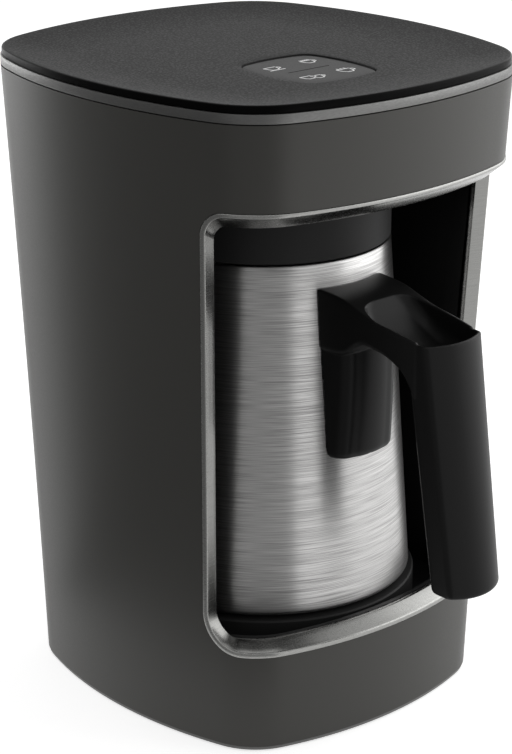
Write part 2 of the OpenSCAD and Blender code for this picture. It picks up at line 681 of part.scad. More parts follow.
module top_frame() color("#1c1c1c") difference() {
    union() {
        translate([0, 0, frame_z]) linear_extrude(frame_plate_t) polygon(outline(sizes_at(frame_z, wall + face_gap)));
        for (p = frame_posts) translate([p.x, p.y, frame_z]) cylinder(r = post_r, h = panel_under - frame_z);
        translate([0, -cap_forward, 0]) {
            // pillar with the cup that holds the ball
            translate([0, 0, frame_z]) cylinder(r = ball_r + 1.5, h = ball_z - 0.6 - frame_z);
            for (x = [-1, 1], y = [-1, 1]) translate([x * pillar_x, y * pillar_y, frame_z]) cylinder(r = 3, h = board_z - frame_z);
        }
        // walls that stand on the bay's ceiling
        for (x = [-1, 1]) translate([x * frame_wall_x - frame_wall_t / 2, -frame_wall_l / 2, bay_ceiling + liner_t])
            cube([frame_wall_t, frame_wall_l, frame_z - bay_ceiling - liner_t + 0.1]);
    }
    translate([0, -cap_forward, ball_z]) sphere(r = ball_r + run_gap);
    for (p = frame_posts) translate([p.x, p.y, frame_z - 1]) {
        cylinder(r = screw_r + 0.1, h = panel_under - frame_z + 2);
        cylinder(r = screw_head_r + 0.3, h = screw_head_h + 1.3);
    }
    // way for the ribbon cable
    translate([-ribbon_w / 2 - 7.5, ribbon_slot_y - 3, frame_z - 1]) cube([ribbon_w + 15, 6, frame_plate_t + 2]);
}

module panel_screws() color("#9a9a9a") for (p = frame_posts)
    translate([p.x, p.y, frame_z + screw_head_h + 0.2]) screw(screw_r, panel_under - frame_z - screw_head_h - 0.4, screw_head_r, screw_head_h);

finger_r = 2;
finger_gap = 0.6;
switch_top = board_z + board_t + switch_h + 1.2;

module control_cap() color("#2b2b2b") translate([0, -cap_forward, 0]) difference() {
    union() {
        translate([0, 0, cap_top - cap_t]) linear_extrude(cap_t) polygon(cap_outline(0));
        // socket over the ball, and a finger above each key
        translate([0, 0, ball_z + 0.5]) cylinder(r = ball_r + 1.6, h = cap_top - cap_t - ball_z);
        for (x = [-1, 1], y = [-1, 1]) translate([x * key_dx / 2, y * key_dy / 2, switch_top + finger_gap])
            cylinder(r = finger_r, h = cap_top - cap_t - switch_top - finger_gap + 0.1);
    }
    translate([0, 0, ball_z]) sphere(r = ball_r + run_gap);
    translate([-groove_len / 2, -0.3, cap_top - 0.4]) cube([groove_len, 0.6, 1]);
}

module pivot_ball() color("#c8c8c8") translate([0, -cap_forward, ball_z]) sphere(r = ball_r);

control_w = 66;        // width and depth of the control board
control_d = 58;

module control_board() color("#20522e") translate([-control_w / 2, -cap_forward - control_d / 2, board_z]) difference() {
    cube([control_w, control_d, board_t]);
    translate([control_w / 2, control_d / 2, -1]) cylinder(r = ball_r + 2, h = board_t + 2);
}

module key_switches() color("#141414") translate([0, -cap_forward, board_z + board_t])
    for (x = [-1, 1], y = [-1, 1]) translate([x * key_dx / 2, y * key_dy / 2, 0]) {
        translate([-3, -3, 0]) cube([6, 6, switch_h]);
        translate([0, 0, switch_h]) cylinder(r = 1.75, h = 1.2);
    }

module indicator_lamps() color("#e8e8e0") translate([0, -cap_forward, board_z + board_t])
    for (x = [-1, 1], y = [-1, 1]) translate([x * (key_dx / 2 + 5.5) - 1.4, y * key_dy / 2 - 1.75, 0]) cube([2.8, 3.5, 1.9]);

module buzzer() color("#101010") translate([24, -cap_forward + 20, board_z + board_t]) difference() {
    cylinder(r = 6, h = 6);
    translate([0, 0, 5]) cylinder(r = 1.2, h = 2);
}

// ---- Power electronics behind the bay ----

power_w = 78;
power_h = 92;
power_z = 62;
board_gap = 4.7;      // from the back of the bay's liner to the board
power_y = bay_deep - pot_forward + liner_t + board_gap;
power_out = power_y + board_t;

module at_board_screws() {
    for (x = [-1, 1], z = [0, 1]) translate([x * (power_w / 2 - 5), power_out, power_z + 5 + z * (power_h - 10)])
        rotate([90, 0, 0]) children();
}

module power_board() color("#20522e") difference() {
    translate([-power_w / 2, power_y, power_z]) cube([power_w, board_t, power_h]);
    at_board_screws() translate([0, 0, -2]) cylinder(r = screw_r + 0.1, h = board_t + 4);
}

module board_screws() color("#9a9a9a") at_board_screws() {
    translate([0, 0, -1.8]) cylinder(r = screw_head_r, h = 1.8);
    cylinder(r = screw_r, h = board_t + 2.6);
}

relay_size = [19, 9.5, 15.5];

module relay() color("#1d2f52") translate([-28, power_out, power_z + 10]) cube(relay_size);

bobbin = [28, 4, 24];    // the transformer's foot, and the windings on it
winding = [18, 6, 18];

module transformer() color("#c9a227") translate([-bobbin.x / 2, power_out, power_z + 34]) {
    cube(bobbin);
    translate([(bobbin.x - winding.x) / 2, bobbin.y, (bobbin.z - winding.z) / 2]) cube(winding);
}

module capacitors() color("#2a2a55") {
    translate([22, power_out, power_z + 18]) rotate([-90, 0, 0]) cylinder(r = 5, h = 9);
    translate([22, power_out, power_z + 34]) rotate([-90, 0, 0]) cylinder(r = 4, h = 9);
    translate([-30, power_out, power_z + 40]) cube([6, 8, 16]);
}

terminal_x = 6;
terminal_z = power_z + 10;
terminal_d = 8;

module terminal_block() color("#3f7a46") translate([terminal_x - 8, power_out, terminal_z]) cube([16, terminal_d, 10]);

// ---- Cord inlet: the gland and its clamp, without a cord ----

gland_flange_t = 2.2;
gland_flange_r = gland_r + 4.4;
gland_y = sizes_at(gland_z + gland_flange_r)[1] + 0.1;    // the flange's face on the back wall
clamp_l = 9;
clamp_y = gland_y - gland_len - clamp_l - 4;
clamp_z = gland_z - gland_r - 1;

module cord_gland() color("#121212") translate([0, gland_y, gland_z]) rotate([90, 0, 0]) difference() {
    union() {
        translate([0, 0, -gland_flange_t]) cylinder(r1 = gland_flange_r - 1.2, r2 = gland_flange_r, h = gland_flange_t);
        cylinder(r = gland_r + 3, h = gland_len - gland_flange_t);
    }
    translate([0, 0, -gland_flange_t - 1]) cylinder(r = gland_r, h = gland_len + 2);
}

module gland_clamp() color("#2a2a2a") translate([-11, clamp_y, clamp_z]) difference() {
    cube([22, clamp_l, 5]);
    translate([11, -1, gland_r + 1]) rotate([-90, 0, 0]) cylinder(r = gland_r, h = clamp_l + 2);
}

// ---- Leads inside the housing ----

lead_r = 1.2;
function flip(route, side) = [for (p = route) [p.x * side, p.y, p.z]];

// From the gland's clamp up to the terminal block
lead_y = power_out + terminal_d / 2;
mains_route = [[0, clamp_y + 1.4, gland_z - 1], [0, clamp_y + 8.4, gland_z], [1, clamp_y + 12, gland_z + 7],
    [3, lead_y, gland_z + 22], [5, lead_y, gland_z + 34], [terminal_x, lead_y, terminal_z - 6],
    [terminal_x, lead_y, terminal_z - 0.1]];
// From the power board down to the element's cold ends
cold_x = element_r * sin(element_open / 2);
cold_y = element_r * cos(element_open / 2) - pot_forward;
cold_z = plate_under - sheath_r - 21;
tap_y = power_out + lead_r + 0.1;
heater_route = [[14, tap_y, power_z + 7], [14, tap_y, power_z - 4], [14, tap_y - 1, 46], [14, tap_y - 4, 34],
    [14, cold_y + 29, 24], [14, cold_y + 15, cold_z - 0.8], [cold_x + 0.5, cold_y + 6, cold_z - 1.4],
    [cold_x, cold_y - 2, cold_z - 1.4]];
// From the power board up to the control board, as [y, z]
ribbon_y = power_y - ribbon_t / 2 - 0.1;
control_back = control_d / 2 - cap_forward;
control_top = board_z + board_t + ribbon_t / 2 + 0.1;
ribbon_route = [[ribbon_y, power_z + power_h - 8], [ribbon_y, power_z + power_h + 4], [ribbon_y, bay_ceiling - 8],
    [ribbon_y - 0.6, frame_z - 14], [ribbon_slot_y + 1, frame_z - 6], [ribbon_slot_y, frame_z + 4.6],
    [ribbon_slot_y - 9, frame_z + 7.6], [control_back + 13, frame_z + 7.6], [control_back + 3, control_top],
    [control_back - 3, control_top]];

module mains_leads() color("#7a4a24") for (s = [-1, 1]) tube([for (p = mains_route) [p.x + s * 1.5, p.y, p.z]], lead_r);
module heater_leads() color("#d8d0c0") for (s = [-1, 1]) tube(flip(heater_route, s), lead_r);
module ribbon_cable() color("#b8b8b8") strip(ribbon_route, ribbon_w, ribbon_t);

// ---- Pot ----

function pot_r_at(z) = mix(foot_r, rim_r, (z - pot_z) / pot_h);

pot_lean = atan2(foot_r - rim_r, pot_h);

module pot_body() color("#b9b9b7") translate([0, -pot_forward, 0]) rotate_extrude(convexity = 4)
    polygon(concat(
        [[0, pot_z + disc_t], [disc_r + 0.1, pot_z + disc_t], [disc_r + 0.1, pot_z]],
        arc([foot_r - pot_edge_r - 0.3, pot_z + pot_edge_r], pot_edge_r, -90, pot_lean, 8),
        [[rim_r, rim_z], [rim_r - pot_wall, rim_z]],
        arc([foot_r - pot_edge_r - 0.3, pot_z + pot_edge_r + 0.6], pot_edge_r - pot_wall, pot_lean, -90, 8),
        [[0, pot_z + disc_t + pot_wall]]));

module pot_base_disc() color("#9f9f9c") translate([0, -pot_forward, pot_z]) cylinder(r = disc_r, h = disc_t);

// ---- Handle: block on the pot, open channel, and grip ----

// A rounded section: half width, back, front at its corners, bow of the front
function section(half, back, front, bow, r_back, r_front) =
    let (
        flat = half - r_front,
        r = front_r(flat, bow),
        turn = bow > 0 ? asin(flat / r) : 0
    ) concat(
        arc([half - r_back, back - r_back], r_back, 0, 90, 2),
        arc([r_back - half, back - r_back], r_back, 90, 180, 2),
        arc([-flat, front + r_front], r_front, 180, 270 - turn, 3),
        bow > 0
            ? [for (i = [-2:2]) let (a = 270 + turn * i / 3) [0, front + r_front + r - bow] + (r + r_front) * [cos(a), sin(a)]]
            : [for (i = [-2:2]) [flat * i / 3, front]],
        arc([flat, front + r_front], r_front, 270 + turn, 360, 3));

// Radius that the bowed front has beyond its corners' own
function front_r(flat, bow) = bow > 0 ? (flat ^ 2 + bow ^ 2) / (2 * bow) : 0;

function lift(points, z) = [for (p = points) [p.x, p.y, z]];

// Block: drafted sides, a rounded front that runs parallel to the pot's wall
block_narrowing = 0.8;    // of each side, from the shelf down to the block's foot
block_draft = 15;
block_r = 6.5;
block_bow = 1.3;
block_taper = 5.8;        // of the front, from the shelf down to the block's foot
block_root = 3;           // how far behind the pot's front the drafted sides start

function block_ring(z, inset) =
    let (
        y = -pot_forward - pot_r_at(z),
        down = (shelf_z - z) / (shelf_z - block_z),
        half = block_w / 2 - block_narrowing * down - inset,
        out = block_out - block_bow - block_r - block_taper * down ^ 2 - inset,
        side = half - (out + block_root + block_r * sin(block_draft)) * tan(block_draft) - block_r * cos(block_draft)
    ) lift(concat(
        arc([half - 1, y + 9], 1, 0, 90, 2),
        arc([1 - half, y + 9], 1, 90, 180, 2),
        [[-half, y + block_root]],
        arc([-side, y - out], block_r, 180 + block_draft, 262, 5),
        [for (i = [-2:2]) [side * i / 3, y - out - block_r - block_bow * (1 - (i / 3) ^ 2)]],
        arc([side, y - out], block_r, 278, 360 - block_draft, 5),
        [[half, y + block_root]]), z);

// Upright section of the arm at a distance in front of the housing's axis
function arm_ring(y, half, low, high) =
    [for (p = section(half, high - low, 0, 0, 0.8, 3)) [p.x, -y, low + p.y]];

block_z = pot_z + block_low;
shelf_z = rim_z - shelf_drop;
grip_z = pot_z + grip_low;
arm_drop = 10.6;       // from the shelf down to the grip's rim
grip_top = shelf_z - arm_drop;

grip_corner_r = 3.5;

// Grip: section at a share s of the way down
function grip_ring(s, inset = 0) =
    let (z = mix(grip_top, grip_z, s), y = -grip_reach - grip_lean * s)
    lift(section(mix(grip_w, grip_end_w, s) / 2 - inset, y + grip_t - inset, y + inset, grip_bow, 2.5, grip_corner_r), z);

// Distance in front of the housing's axis at a share of the way from the block to the grip
arm_from = pot_forward + pot_r_at(shelf_z) + block_out - block_bow;
function arm_y(share) = mix(arm_from, grip_reach, share);

arm_rings = [
    arm_ring(arm_from - 19, block_w / 2, shelf_z - 22, shelf_z),
    arm_ring(arm_from - 9, block_w / 2, shelf_z - 22, shelf_z - 0.5),
    arm_ring(arm_y(0.015), block_w / 2, shelf_z - 20.6, shelf_z - 1.7),
    arm_ring(arm_y(0.2), block_w / 2, shelf_z - 17.2, shelf_z - 4.2),
    arm_ring(arm_y(0.375), block_w / 2, shelf_z - 18.5, shelf_z - 6.5),
    arm_ring(arm_y(0.55), grip_w / 2 + 1.3, shelf_z - 20.4, shelf_z - 7.7),
    arm_ring(arm_y(0.726), grip_w / 2 + 0.9, shelf_z - 25, shelf_z - 8.9),
    arm_ring(arm_y(0.857), grip_w / 2 + 0.3, shelf_z - 34, shelf_z - arm_drop + 0.8)];

// The open channel: rings from the shelf's edge to the grip's front wall
function channel_ring(y, half, low) =
    [for (p = section(half, 60, 0, 0, 0.8, min(5, half - 1))) [p.x, -y, low + p.y]];

channel_half = grip_w / 2 - channel_wall;
channel_front = grip_reach + grip_bow - channel_wall;
channel_front_r = front_r(grip_w / 2 - grip_corner_r, grip_bow) + grip_corner_r - channel_wall;
channel_rings = [
    channel_ring(arm_y(0.12), channel_half - 4, shelf_z - 3),
    channel_ring(arm_y(0.2), channel_half - 1, shelf_z - 8.5),
    channel_ring(arm_y(0.35), channel_half + 1, shelf_z - 14.4),
    channel_ring(arm_y(0.55), channel_half + 1, shelf_z - 18.6),
    channel_ring(arm_y(0.726), channel_half + 0.7, grip_top - channel_deep + 3),
    channel_ring(arm_y(0.83), channel_half + 0.3, grip_top - channel_deep),
    for (d = [5.2, 3.7, 2.8, 1.8, 0.9, 0.3, 0.05])
        channel_ring(channel_front - d, min(channel_half, sqrt(2 * channel_front_r * d - d ^ 2)), grip_top - channel_deep)];

tab_low = 72;         // the bracket's heights above the pot's foot
tab_high = 118;
tab_t = 1.4;
tab_w = 28;
boss_w = 10;
boss_out = 6.2;
boss_low = 74;
boss_high = 84;
handle_screw_r = 1.5;
handle_screw_head_r = 2.8;
handle_screw_z = block_z + 5.1;    // underside of its head
screw_y = -pot_forward - pot_r_at(pot_z + boss_low) - handle_screw_head_r - 0.6;

module pot_cone(grow, low, high) {
    translate([0, -pot_forward, low]) cylinder(r1 = pot_r_at(low) + grow, r2 = pot_r_at(high) + grow, h = high - low);
}

module handle() color("#151515") difference() {
    union() {
        loft([block_ring(block_z, 2.2), block_ring(block_z + 0.7, 1), block_ring(block_z + 2, 0.3),
              for (s = [0, 0.3, 0.6, 1]) block_ring(mix(block_z + 4, shelf_z - 18, s), 0)]);
        loft(arm_rings);
        loft([grip_ring(0), grip_ring(0.5), grip_ring(0.97), grip_ring(0.99, 0.8), grip_ring(1, 2.4)]);
    }
    loft(channel_rings);
    pot_cone(0.12, pot_z, rim_z, $fn = 96);
    // pocket for the bracket, and the way in for its screw
    intersection() {
        translate([-tab_w / 2 - 1, -pot_forward - foot_r - 2, pot_z + tab_low - 0.5]) cube([tab_w + 2, foot_r, tab_high - tab_low + 1]);
        pot_cone(tab_t + 0.35, pot_z, rim_z, $fn = 96);
    }
    translate([-boss_w / 2 - 0.4, -pot_forward - pot_r_at(pot_z + boss_low) - boss_out - 0.4, pot_z + boss_low - 0.4])
        cube([boss_w + 0.8, boss_out + 6, boss_high - boss_low + 0.8]);
    translate([0, screw_y, block_z - 1]) {
        cylinder(r = handle_screw_r + 0.3, h = boss_low - block_low + 4, $fn = 24);
        cylinder(r = handle_screw_head_r + 0.3, h = handle_screw_z - block_z + 1, $fn = 32);
    }
}

module handle_bracket() color("#a0a0a0") difference() {
    union() {
        intersection() {
            difference() {
                pot_cone(tab_t + 0.02, pot_z + tab_low, pot_z + tab_high);
                pot_cone(0.02, pot_z + tab_low - 1, pot_z + tab_high + 1);
            }
            translate([-tab_w / 2, -pot_forward - foot_r - 10, 0]) cube([tab_w, foot_r, height]);
        }
        difference() {
            translate([-boss_w / 2, -pot_forward - pot_r_at(pot_z + boss_low) - boss_out, pot_z + boss_low])
                cube([boss_w, boss_out + 4, boss_high - boss_low]);
            pot_cone(0.02, pot_z + boss_low - 5, pot_z + boss_high + 5);
        }
    }
    translate([0, screw_y, pot_z + boss_low - 1]) cylinder(r = handle_screw_r, h = boss_high - boss_low + 2);
}

module handle_screw() color("#8d8d8d") translate([0, screw_y, handle_screw_z])
    screw(handle_screw_r - 0.02, pot_z + boss_high - handle_screw_z, handle_screw_head_r, 2.6);

// ---- Place: the origin is the middle of the footprint, handle included ----

reach = grip_reach + grip_lean + grip_bow;
frame_y = (reach - top_d / 2) / 2;

module placed() {
    translate([0, frame_y, 0]) children();
}

placed() base_plate();
placed() foot_strip();
placed() rubber_feet();
placed() base_screws();
placed() body_shell();
placed() window_frame();
placed() bay_liner();
placed() pedestal();
placed() heating_plate();
placed() heating_element();
placed() thermal_cutouts();
placed() sensor_guide();
placed() sensor_button();
placed() sensor_spring();
placed() head_skirt();
placed() foam_sensor_lens();
placed() foam_sensor_board();
placed() skirt_screws();
placed() top_frame();
placed() satin_ring();
placed() top_panel();
placed() panel_screws();
placed() control_cap();
placed() pivot_ball();
placed() control_board();
placed() key_switches();
placed() indicator_lamps();
placed() buzzer();
placed() power_board();
placed() board_screws();
placed() relay();
placed() transformer();
placed() capacitors();
placed() terminal_block();
placed() cord_gland();
placed() gland_clamp();
placed() mains_leads();
placed() heater_leads();
placed() ribbon_cable();
placed() pot_body();
placed() pot_base_disc();
placed() handle_bracket();
placed() handle();
placed() handle_screw();
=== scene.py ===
"""Looks of a small worktop coffee maker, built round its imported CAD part.

Sizes in the tables below are millimetres about the housing's own axis; the meshes are metres in the row frame.
"""

import math

import bmesh
import bpy
import numpy as np
from bpy.props import FloatProperty, FloatVectorProperty, IntProperty, PointerProperty
from mathutils import Matrix, Vector


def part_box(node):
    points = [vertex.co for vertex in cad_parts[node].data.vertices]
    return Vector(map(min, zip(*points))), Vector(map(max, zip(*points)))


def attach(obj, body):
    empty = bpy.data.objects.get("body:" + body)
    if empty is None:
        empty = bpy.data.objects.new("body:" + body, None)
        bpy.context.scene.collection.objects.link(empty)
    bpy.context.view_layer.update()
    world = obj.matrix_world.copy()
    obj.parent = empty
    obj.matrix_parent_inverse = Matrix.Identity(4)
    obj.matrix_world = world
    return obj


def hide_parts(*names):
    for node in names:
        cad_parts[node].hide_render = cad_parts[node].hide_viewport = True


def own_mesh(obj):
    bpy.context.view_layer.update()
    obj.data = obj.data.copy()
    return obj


bl_info = {
    "name": "Worktop coffee maker",
    "version": (1, 0, 0),
    "blender": (4, 5, 0),
    "location": "View3D > Sidebar > Coffee maker",
    "description": "Skins, finishes and stage for a small worktop coffee maker",
    "category": "Object",
}

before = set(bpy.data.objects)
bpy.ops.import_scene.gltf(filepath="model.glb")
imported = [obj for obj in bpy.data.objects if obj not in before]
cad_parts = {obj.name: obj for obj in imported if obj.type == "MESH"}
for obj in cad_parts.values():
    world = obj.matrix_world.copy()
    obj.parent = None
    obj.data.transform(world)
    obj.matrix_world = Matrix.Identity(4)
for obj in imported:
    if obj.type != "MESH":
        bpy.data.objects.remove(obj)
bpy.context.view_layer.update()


# ---- Sizes read from the frame, in millimetres ----


def levels(node):
    """A node's lowest and highest level."""
    return [v.z * 1000 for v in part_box(node)]


_ring_low, _ring_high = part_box("satin_ring")
_pot_low, _pot_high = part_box("pot_body")
AXIS_Y = (_ring_low.y + _ring_high.y) * 500
RING_Z = _ring_low.z * 1000
RIM_Z = levels("top_panel")[1]
POT_Z, POT_RIM_Z = levels("pot_body")
POT_Y = (_pot_low.y + _pot_high.y) * 500 - AXIS_Y
POT_FOOT_R = (_pot_high.x - _pot_low.x) * 500
POT_RIM_R = 51.9

# The housing's half width, half depth, side, end and corner radii at the foot and at the top
FOOT_PLAN = (77.3, 82.5, 189.5, 165.0, 27.2)
TOP_PLAN = ((_ring_high.x - _ring_low.x) * 500, (_ring_high.y - _ring_low.y) * 500, 204.0, 189.0, 35.9)
FLARE = 0.2
WALL = 2.2
WINDOW_LOW, WINDOW_HIGH = 42.6, 228.4
WRAP_LOW, WRAP_HIGH = 74.8, 73.4
CORNER_LOW, CORNER_HIGH = 18.0, 10.0
CAP_Y = -32.2
CAP_PLAN = (21.0, 23.4, 75.0, 65.0, 6.5)


def mix(a, b, s):
    return a + (b - a) * s


# ---- The housing's bowed wall ----


def corner_of(a, b, side_r, end_r, corner_r):
    """A plan's corner arc: its middle, and the turns from the end's middle at which it begins and ends."""
    span = np.hypot(a - side_r, b - end_r)
    dx, dy = (side_r - a) / span, (b - end_r) / span
    along = ((side_r - corner_r) ** 2 - (end_r - corner_r) ** 2 + span**2) / (2 * span)
    off = np.sqrt((side_r - corner_r) ** 2 - along**2)
    foot_x, foot_y = a - side_r + along * dx, along * dy
    x1, y1, x2, y2 = foot_x - off * dy, foot_y + off * dx, foot_x + off * dy, foot_y - off * dx
    first = x1 + y1 > x2 + y2
    cx, cy = np.where(first, x1, x2), np.where(first, y1, y2)
    return cx, cy, math.pi / 2 - np.arctan2(cy - (b - end_r), cx), math.pi / 2 - np.arctan2(cy, cx - (a - side_r))


def plan_at(z):
    """Half width, half depth and the three radii at a height, with the corner arc's middle and turns."""
    t = np.asarray(z, float) / RING_Z
    s = t - FLARE * t * (1 - t)
    plan = [mix(f, h, s) for f, h in zip(FOOT_PLAN, TOP_PLAN)]
    return *plan, *corner_of(*plan)


def wall(along, z, depth=0.0):
    """Points on the front half of the wall, at a distance round it from the front's middle, sunk in by depth."""
    along, z = np.broadcast_arrays(np.asarray(along, float), np.asarray(z, float))
    a, b, side_r, end_r, corner_r, cx, cy, end_turn, side_turn = plan_at(z)
    u = np.abs(along)
    end_len, corner_len = end_r * end_turn, corner_r * (side_turn - end_turn)
    front, corner = u < end_len, u < end_len + corner_len
    late = np.where(corner, end_turn + (u - end_len) / corner_r, side_turn + (u - end_len - corner_len) / side_r)
    turn = np.where(front, u / end_r, late)
    ox = np.where(front, 0, np.where(corner, cx, a - side_r))
    oy = np.where(front, end_r - b, np.where(corner, -cy, 0))
    r = np.where(front, end_r, np.where(corner, corner_r, side_r)) - depth
    x = ox + r * np.sin(turn)
    return np.stack([np.where(along < 0, -x, x), oy - r * np.cos(turn), z], -1)


def way_round(z, turn):
    """Distance round the wall from the front's middle to where its side arc has turned so far."""
    _, _, side_r, end_r, corner_r, _, _, end_turn, side_turn = plan_at(z)
    return end_r * end_turn + corner_r * (side_turn - end_turn) + side_r * (turn - side_turn)


def half_side(z):
    return way_round(z, math.pi / 2)


def half_window(z):
    share = (np.asarray(z, float) - WINDOW_LOW) / (WINDOW_HIGH - WINDOW_LOW)
    return way_round(z, np.radians(mix(WRAP_LOW, WRAP_HIGH, share)))


def plan_ring(z, inset, level):
    """The housing's whole plan at a height as a ring of points, moved in by inset and drawn at level."""
    length, half_count = float(half_side(z)), 160
    front = wall(np.linspace(-length, length, half_count + 1), z, inset)
    ring = np.concatenate([front, front[1:-1][::-1] * (1, -1, 1)])
    ring[:, 2] = level
    return ring


def bend(cx, cy, r, start, end, steps):
    """Points of an arc about a middle, from one angle to another in degrees."""
    t = np.radians(np.linspace(start, end, steps + 1))
    return np.stack([cx + r * np.cos(t), cy + r * np.sin(t)], 1)


def upright(points, z):
    return np.column_stack([points, np.full(len(points), z)])


def window_edge(side_in, low_in, high_in, r_low, r_high):
    """The window's edge as rows of distance round the wall and height, anticlockwise from outside."""
    bends, uprights, across = 14, 30, 64
    low, high = WINDOW_LOW + low_in, WINDOW_HIGH - high_in
    w_low = float(half_window(low + r_low)) - side_in
    w_high = float(half_window(high - r_high)) - side_in
    z = mix(low + r_low, high - r_high, np.arange(1, uprights) / uprights)
    right = np.concatenate([bend(w_low - r_low, low + r_low, r_low, -90, 0, bends),
                            np.stack([half_window(z) - side_in, z], 1),
                            bend(w_high - r_high, high - r_high, r_high, 0, 90, bends)])
    s = np.arange(1, across) / across
    top = upright((mix(1, -1, s) * (w_high - r_high))[:, None], high)
    bottom = upright((mix(-1, 1, s) * (w_low - r_low))[:, None], low)
    return np.concatenate([right, top, right[::-1] * (-1, 1), bottom])


def cap_ring(inset, level, directions):
    """The control cap's plan at given directions from its middle."""
    a, b, side_r, end_r, corner_r = plan = [v - inset for v in CAP_PLAN]
    cx, cy, end_turn, side_turn = (float(v) for v in corner_of(*plan))
    t1, t2 = 90 - math.degrees(side_turn), 90 - math.degrees(end_turn)
    quarter = np.concatenate([bend(a - side_r, 0, side_r, 0, t1, 59), bend(cx, cy, corner_r, t1, t2, 59),
                              bend(0, b - end_r, end_r, t2, 90, 59)])
    angle, radius = np.arctan2(quarter[:, 1], quarter[:, 0]), np.hypot(quarter[:, 0], quarter[:, 1])
    folded = np.abs(np.arctan2(np.abs(np.sin(directions)), np.abs(np.cos(directions))))
    r = np.interp(folded, angle, radius)
    return upright(np.stack([r * np.cos(directions), CAP_Y + r * np.sin(directions)], 1), level)


def smooth_table(rows, count):
    """Rows of numbers turned into more rows on a smooth line through them."""
    rows = np.asarray(rows, float)
    padded = np.concatenate([[2 * rows[0] - rows[1]], rows, [2 * rows[-1] - rows[-2]]])
    out = []
    for t in np.linspace(0, len(rows) - 1, count):
        i = min(int(t), len(rows) - 2)
        f = t - i
        a, b, c, d = padded[i : i + 4]
        out.append(0.5 * (2 * b + (c - a) * f + (2 * a - 5 * b + 4 * c - d) * f * f + (3 * b - a - 3 * c + d) * f**3))
    return np.array(out)


# ---- Meshes ----


def mesh_of(name, points, faces):
    """A mesh from millimetre points about the housing's axis, placed in the row frame."""
    placed = (np.asarray(points, float) + (0, AXIS_Y, 0)) / 1000
    mesh = bpy.data.meshes.new(name)
    mesh.from_pydata(placed.tolist(), [], faces)
    return mesh


def rows_to_faces(rows, length, start=0, closed_rows=False, closed_ends=True):
    """Quads between rows of points that run anticlockwise from outside, each row further up than the last."""
    faces = []
    for j in range(rows if closed_rows else rows - 1):
        for k in range(length if closed_ends else length - 1):
            m = (k + 1) % length
            a, b = start + j * length, start + ((j + 1) % rows) * length
            faces.append((a + k, a + m, b + m, b + k))
    return faces


def skin(name, rings, closed=False, capped=False):
    """A mesh over rings of equal length. closed joins the last ring to the first, capped fills both ends."""
    count, length = len(rings), len(rings[0])
    faces = rows_to_faces(count, length, closed_rows=closed)
    if capped:
        faces += [tuple(range(length - 1, -1, -1)), tuple(range((count - 1) * length, count * length))]
    return mesh_of(name, np.concatenate(rings), faces)


def lathe(name, profile, centre=(0, 0), steps=192):
    """A mesh turned about an upright axis from rows of radius and height; rows at radius 0 close it."""
    angle = np.arange(steps) * 2 * math.pi / steps
    circle = np.stack([np.cos(angle), np.sin(angle)], 1)
    return skin(name, [upright(np.asarray(centre) + r * circle, z) for r, z in profile])


def weld(mesh, reach, mend=True):
    """Merges doubles; to mend also drops what has no area and points faces outwards."""
    bm = bmesh.new()
    bm.from_mesh(mesh)
    bmesh.ops.remove_doubles(bm, verts=bm.verts, dist=reach)
    if mend:
        bmesh.ops.dissolve_degenerate(bm, edges=bm.edges, dist=reach)
        bmesh.ops.recalc_face_normals(bm, faces=bm.faces)
    bm.to_mesh(mesh)
    bm.free()


def tidy(mesh, crease=38):
    """Mends a mesh and shades it smooth apart from its creases."""
    weld(mesh, 1e-6)
    mesh.polygons.foreach_set("use_smooth", [True] * len(mesh.polygons))
    mesh.set_sharp_from_angle(angle=math.radians(crease))
    mesh.update()


def read(items, field, width, kind=float):
    values = np.empty(len(items) * width, kind)
    items.foreach_get(field, values)
    return values.reshape(-1, width)


def mark_edges(mesh):
    """Writes the point attribute 'edge': how sharply the surface turns outwards there, from 0 to 1."""
    co, normal = read(mesh.vertices, "co", 3), read(mesh.vertices, "normal", 3)
    pairs = read(mesh.edges, "vertices", 2, int)
    along = co[pairs[:, 1]] - co[pairs[:, 0]]
    length = np.maximum(np.linalg.norm(along, axis=1), 1e-9)
    turn = ((normal[pairs[:, 1]] - normal[pairs[:, 0]]) * along).sum(1) / length
    total, number = np.zeros(len(co)), np.full(len(co), 1e-9)
    for side in (0, 1):
        np.add.at(total, pairs[:, side], turn)
        np.add.at(number, pairs[:, side], 1)
    value = np.clip(total / number * 2.4, 0, 1)
    for _ in range(2):
        total[:], number[:] = value, 1
        for side in (0, 1):
            np.add.at(total, pairs[:, side], value[pairs[:, 1 - side]])
            np.add.at(number, pairs[:, side], 1)
        value = total / number
    attribute = mesh.attributes.get("edge") or mesh.attributes.new("edge", "FLOAT", "POINT")
    attribute.data.foreach_set("value", value.astype(np.float32))


def second_finish(mesh, length, first, last):
    """Gives the quads in rows first to last the mesh's second finish."""
    for p in mesh.polygons:
        p.material_index = int(first <= p.index // length <= last)


def loose(name, data):
    """A working object that isn't a piece yet."""
    obj = bpy.data.objects.new(name, data)
    bpy.context.scene.collection.objects.link(obj)
    return obj


def piece(name, mesh, finishes, body="housing", instead_of=(), crease=38, edges=True):
    """Adds a finished piece: its mesh in place, its finishes, the body it rides on and the nodes it stands for."""
    tidy(mesh, crease)
    obj = loose(name, mesh)
    for m in map(finish_of, finishes):
        if m.name not in mesh.materials:
            mesh.materials.append(m)
    if edges:
        mark_edges(mesh)
    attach(obj, body)
    if instead_of:
        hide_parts(*instead_of)
    return obj


def gone(obj):
    old = obj.data
    bpy.data.objects.remove(obj)
    bpy.data.meshes.remove(old)


def baked(obj):
    """Applies an object's modifiers and returns the plain mesh; the object goes."""
    bpy.context.view_layer.update()
    graph = bpy.context.evaluated_depsgraph_get()
    mesh = bpy.data.meshes.new_from_object(obj.evaluated_get(graph), depsgraph=graph)
    gone(obj)
    return mesh


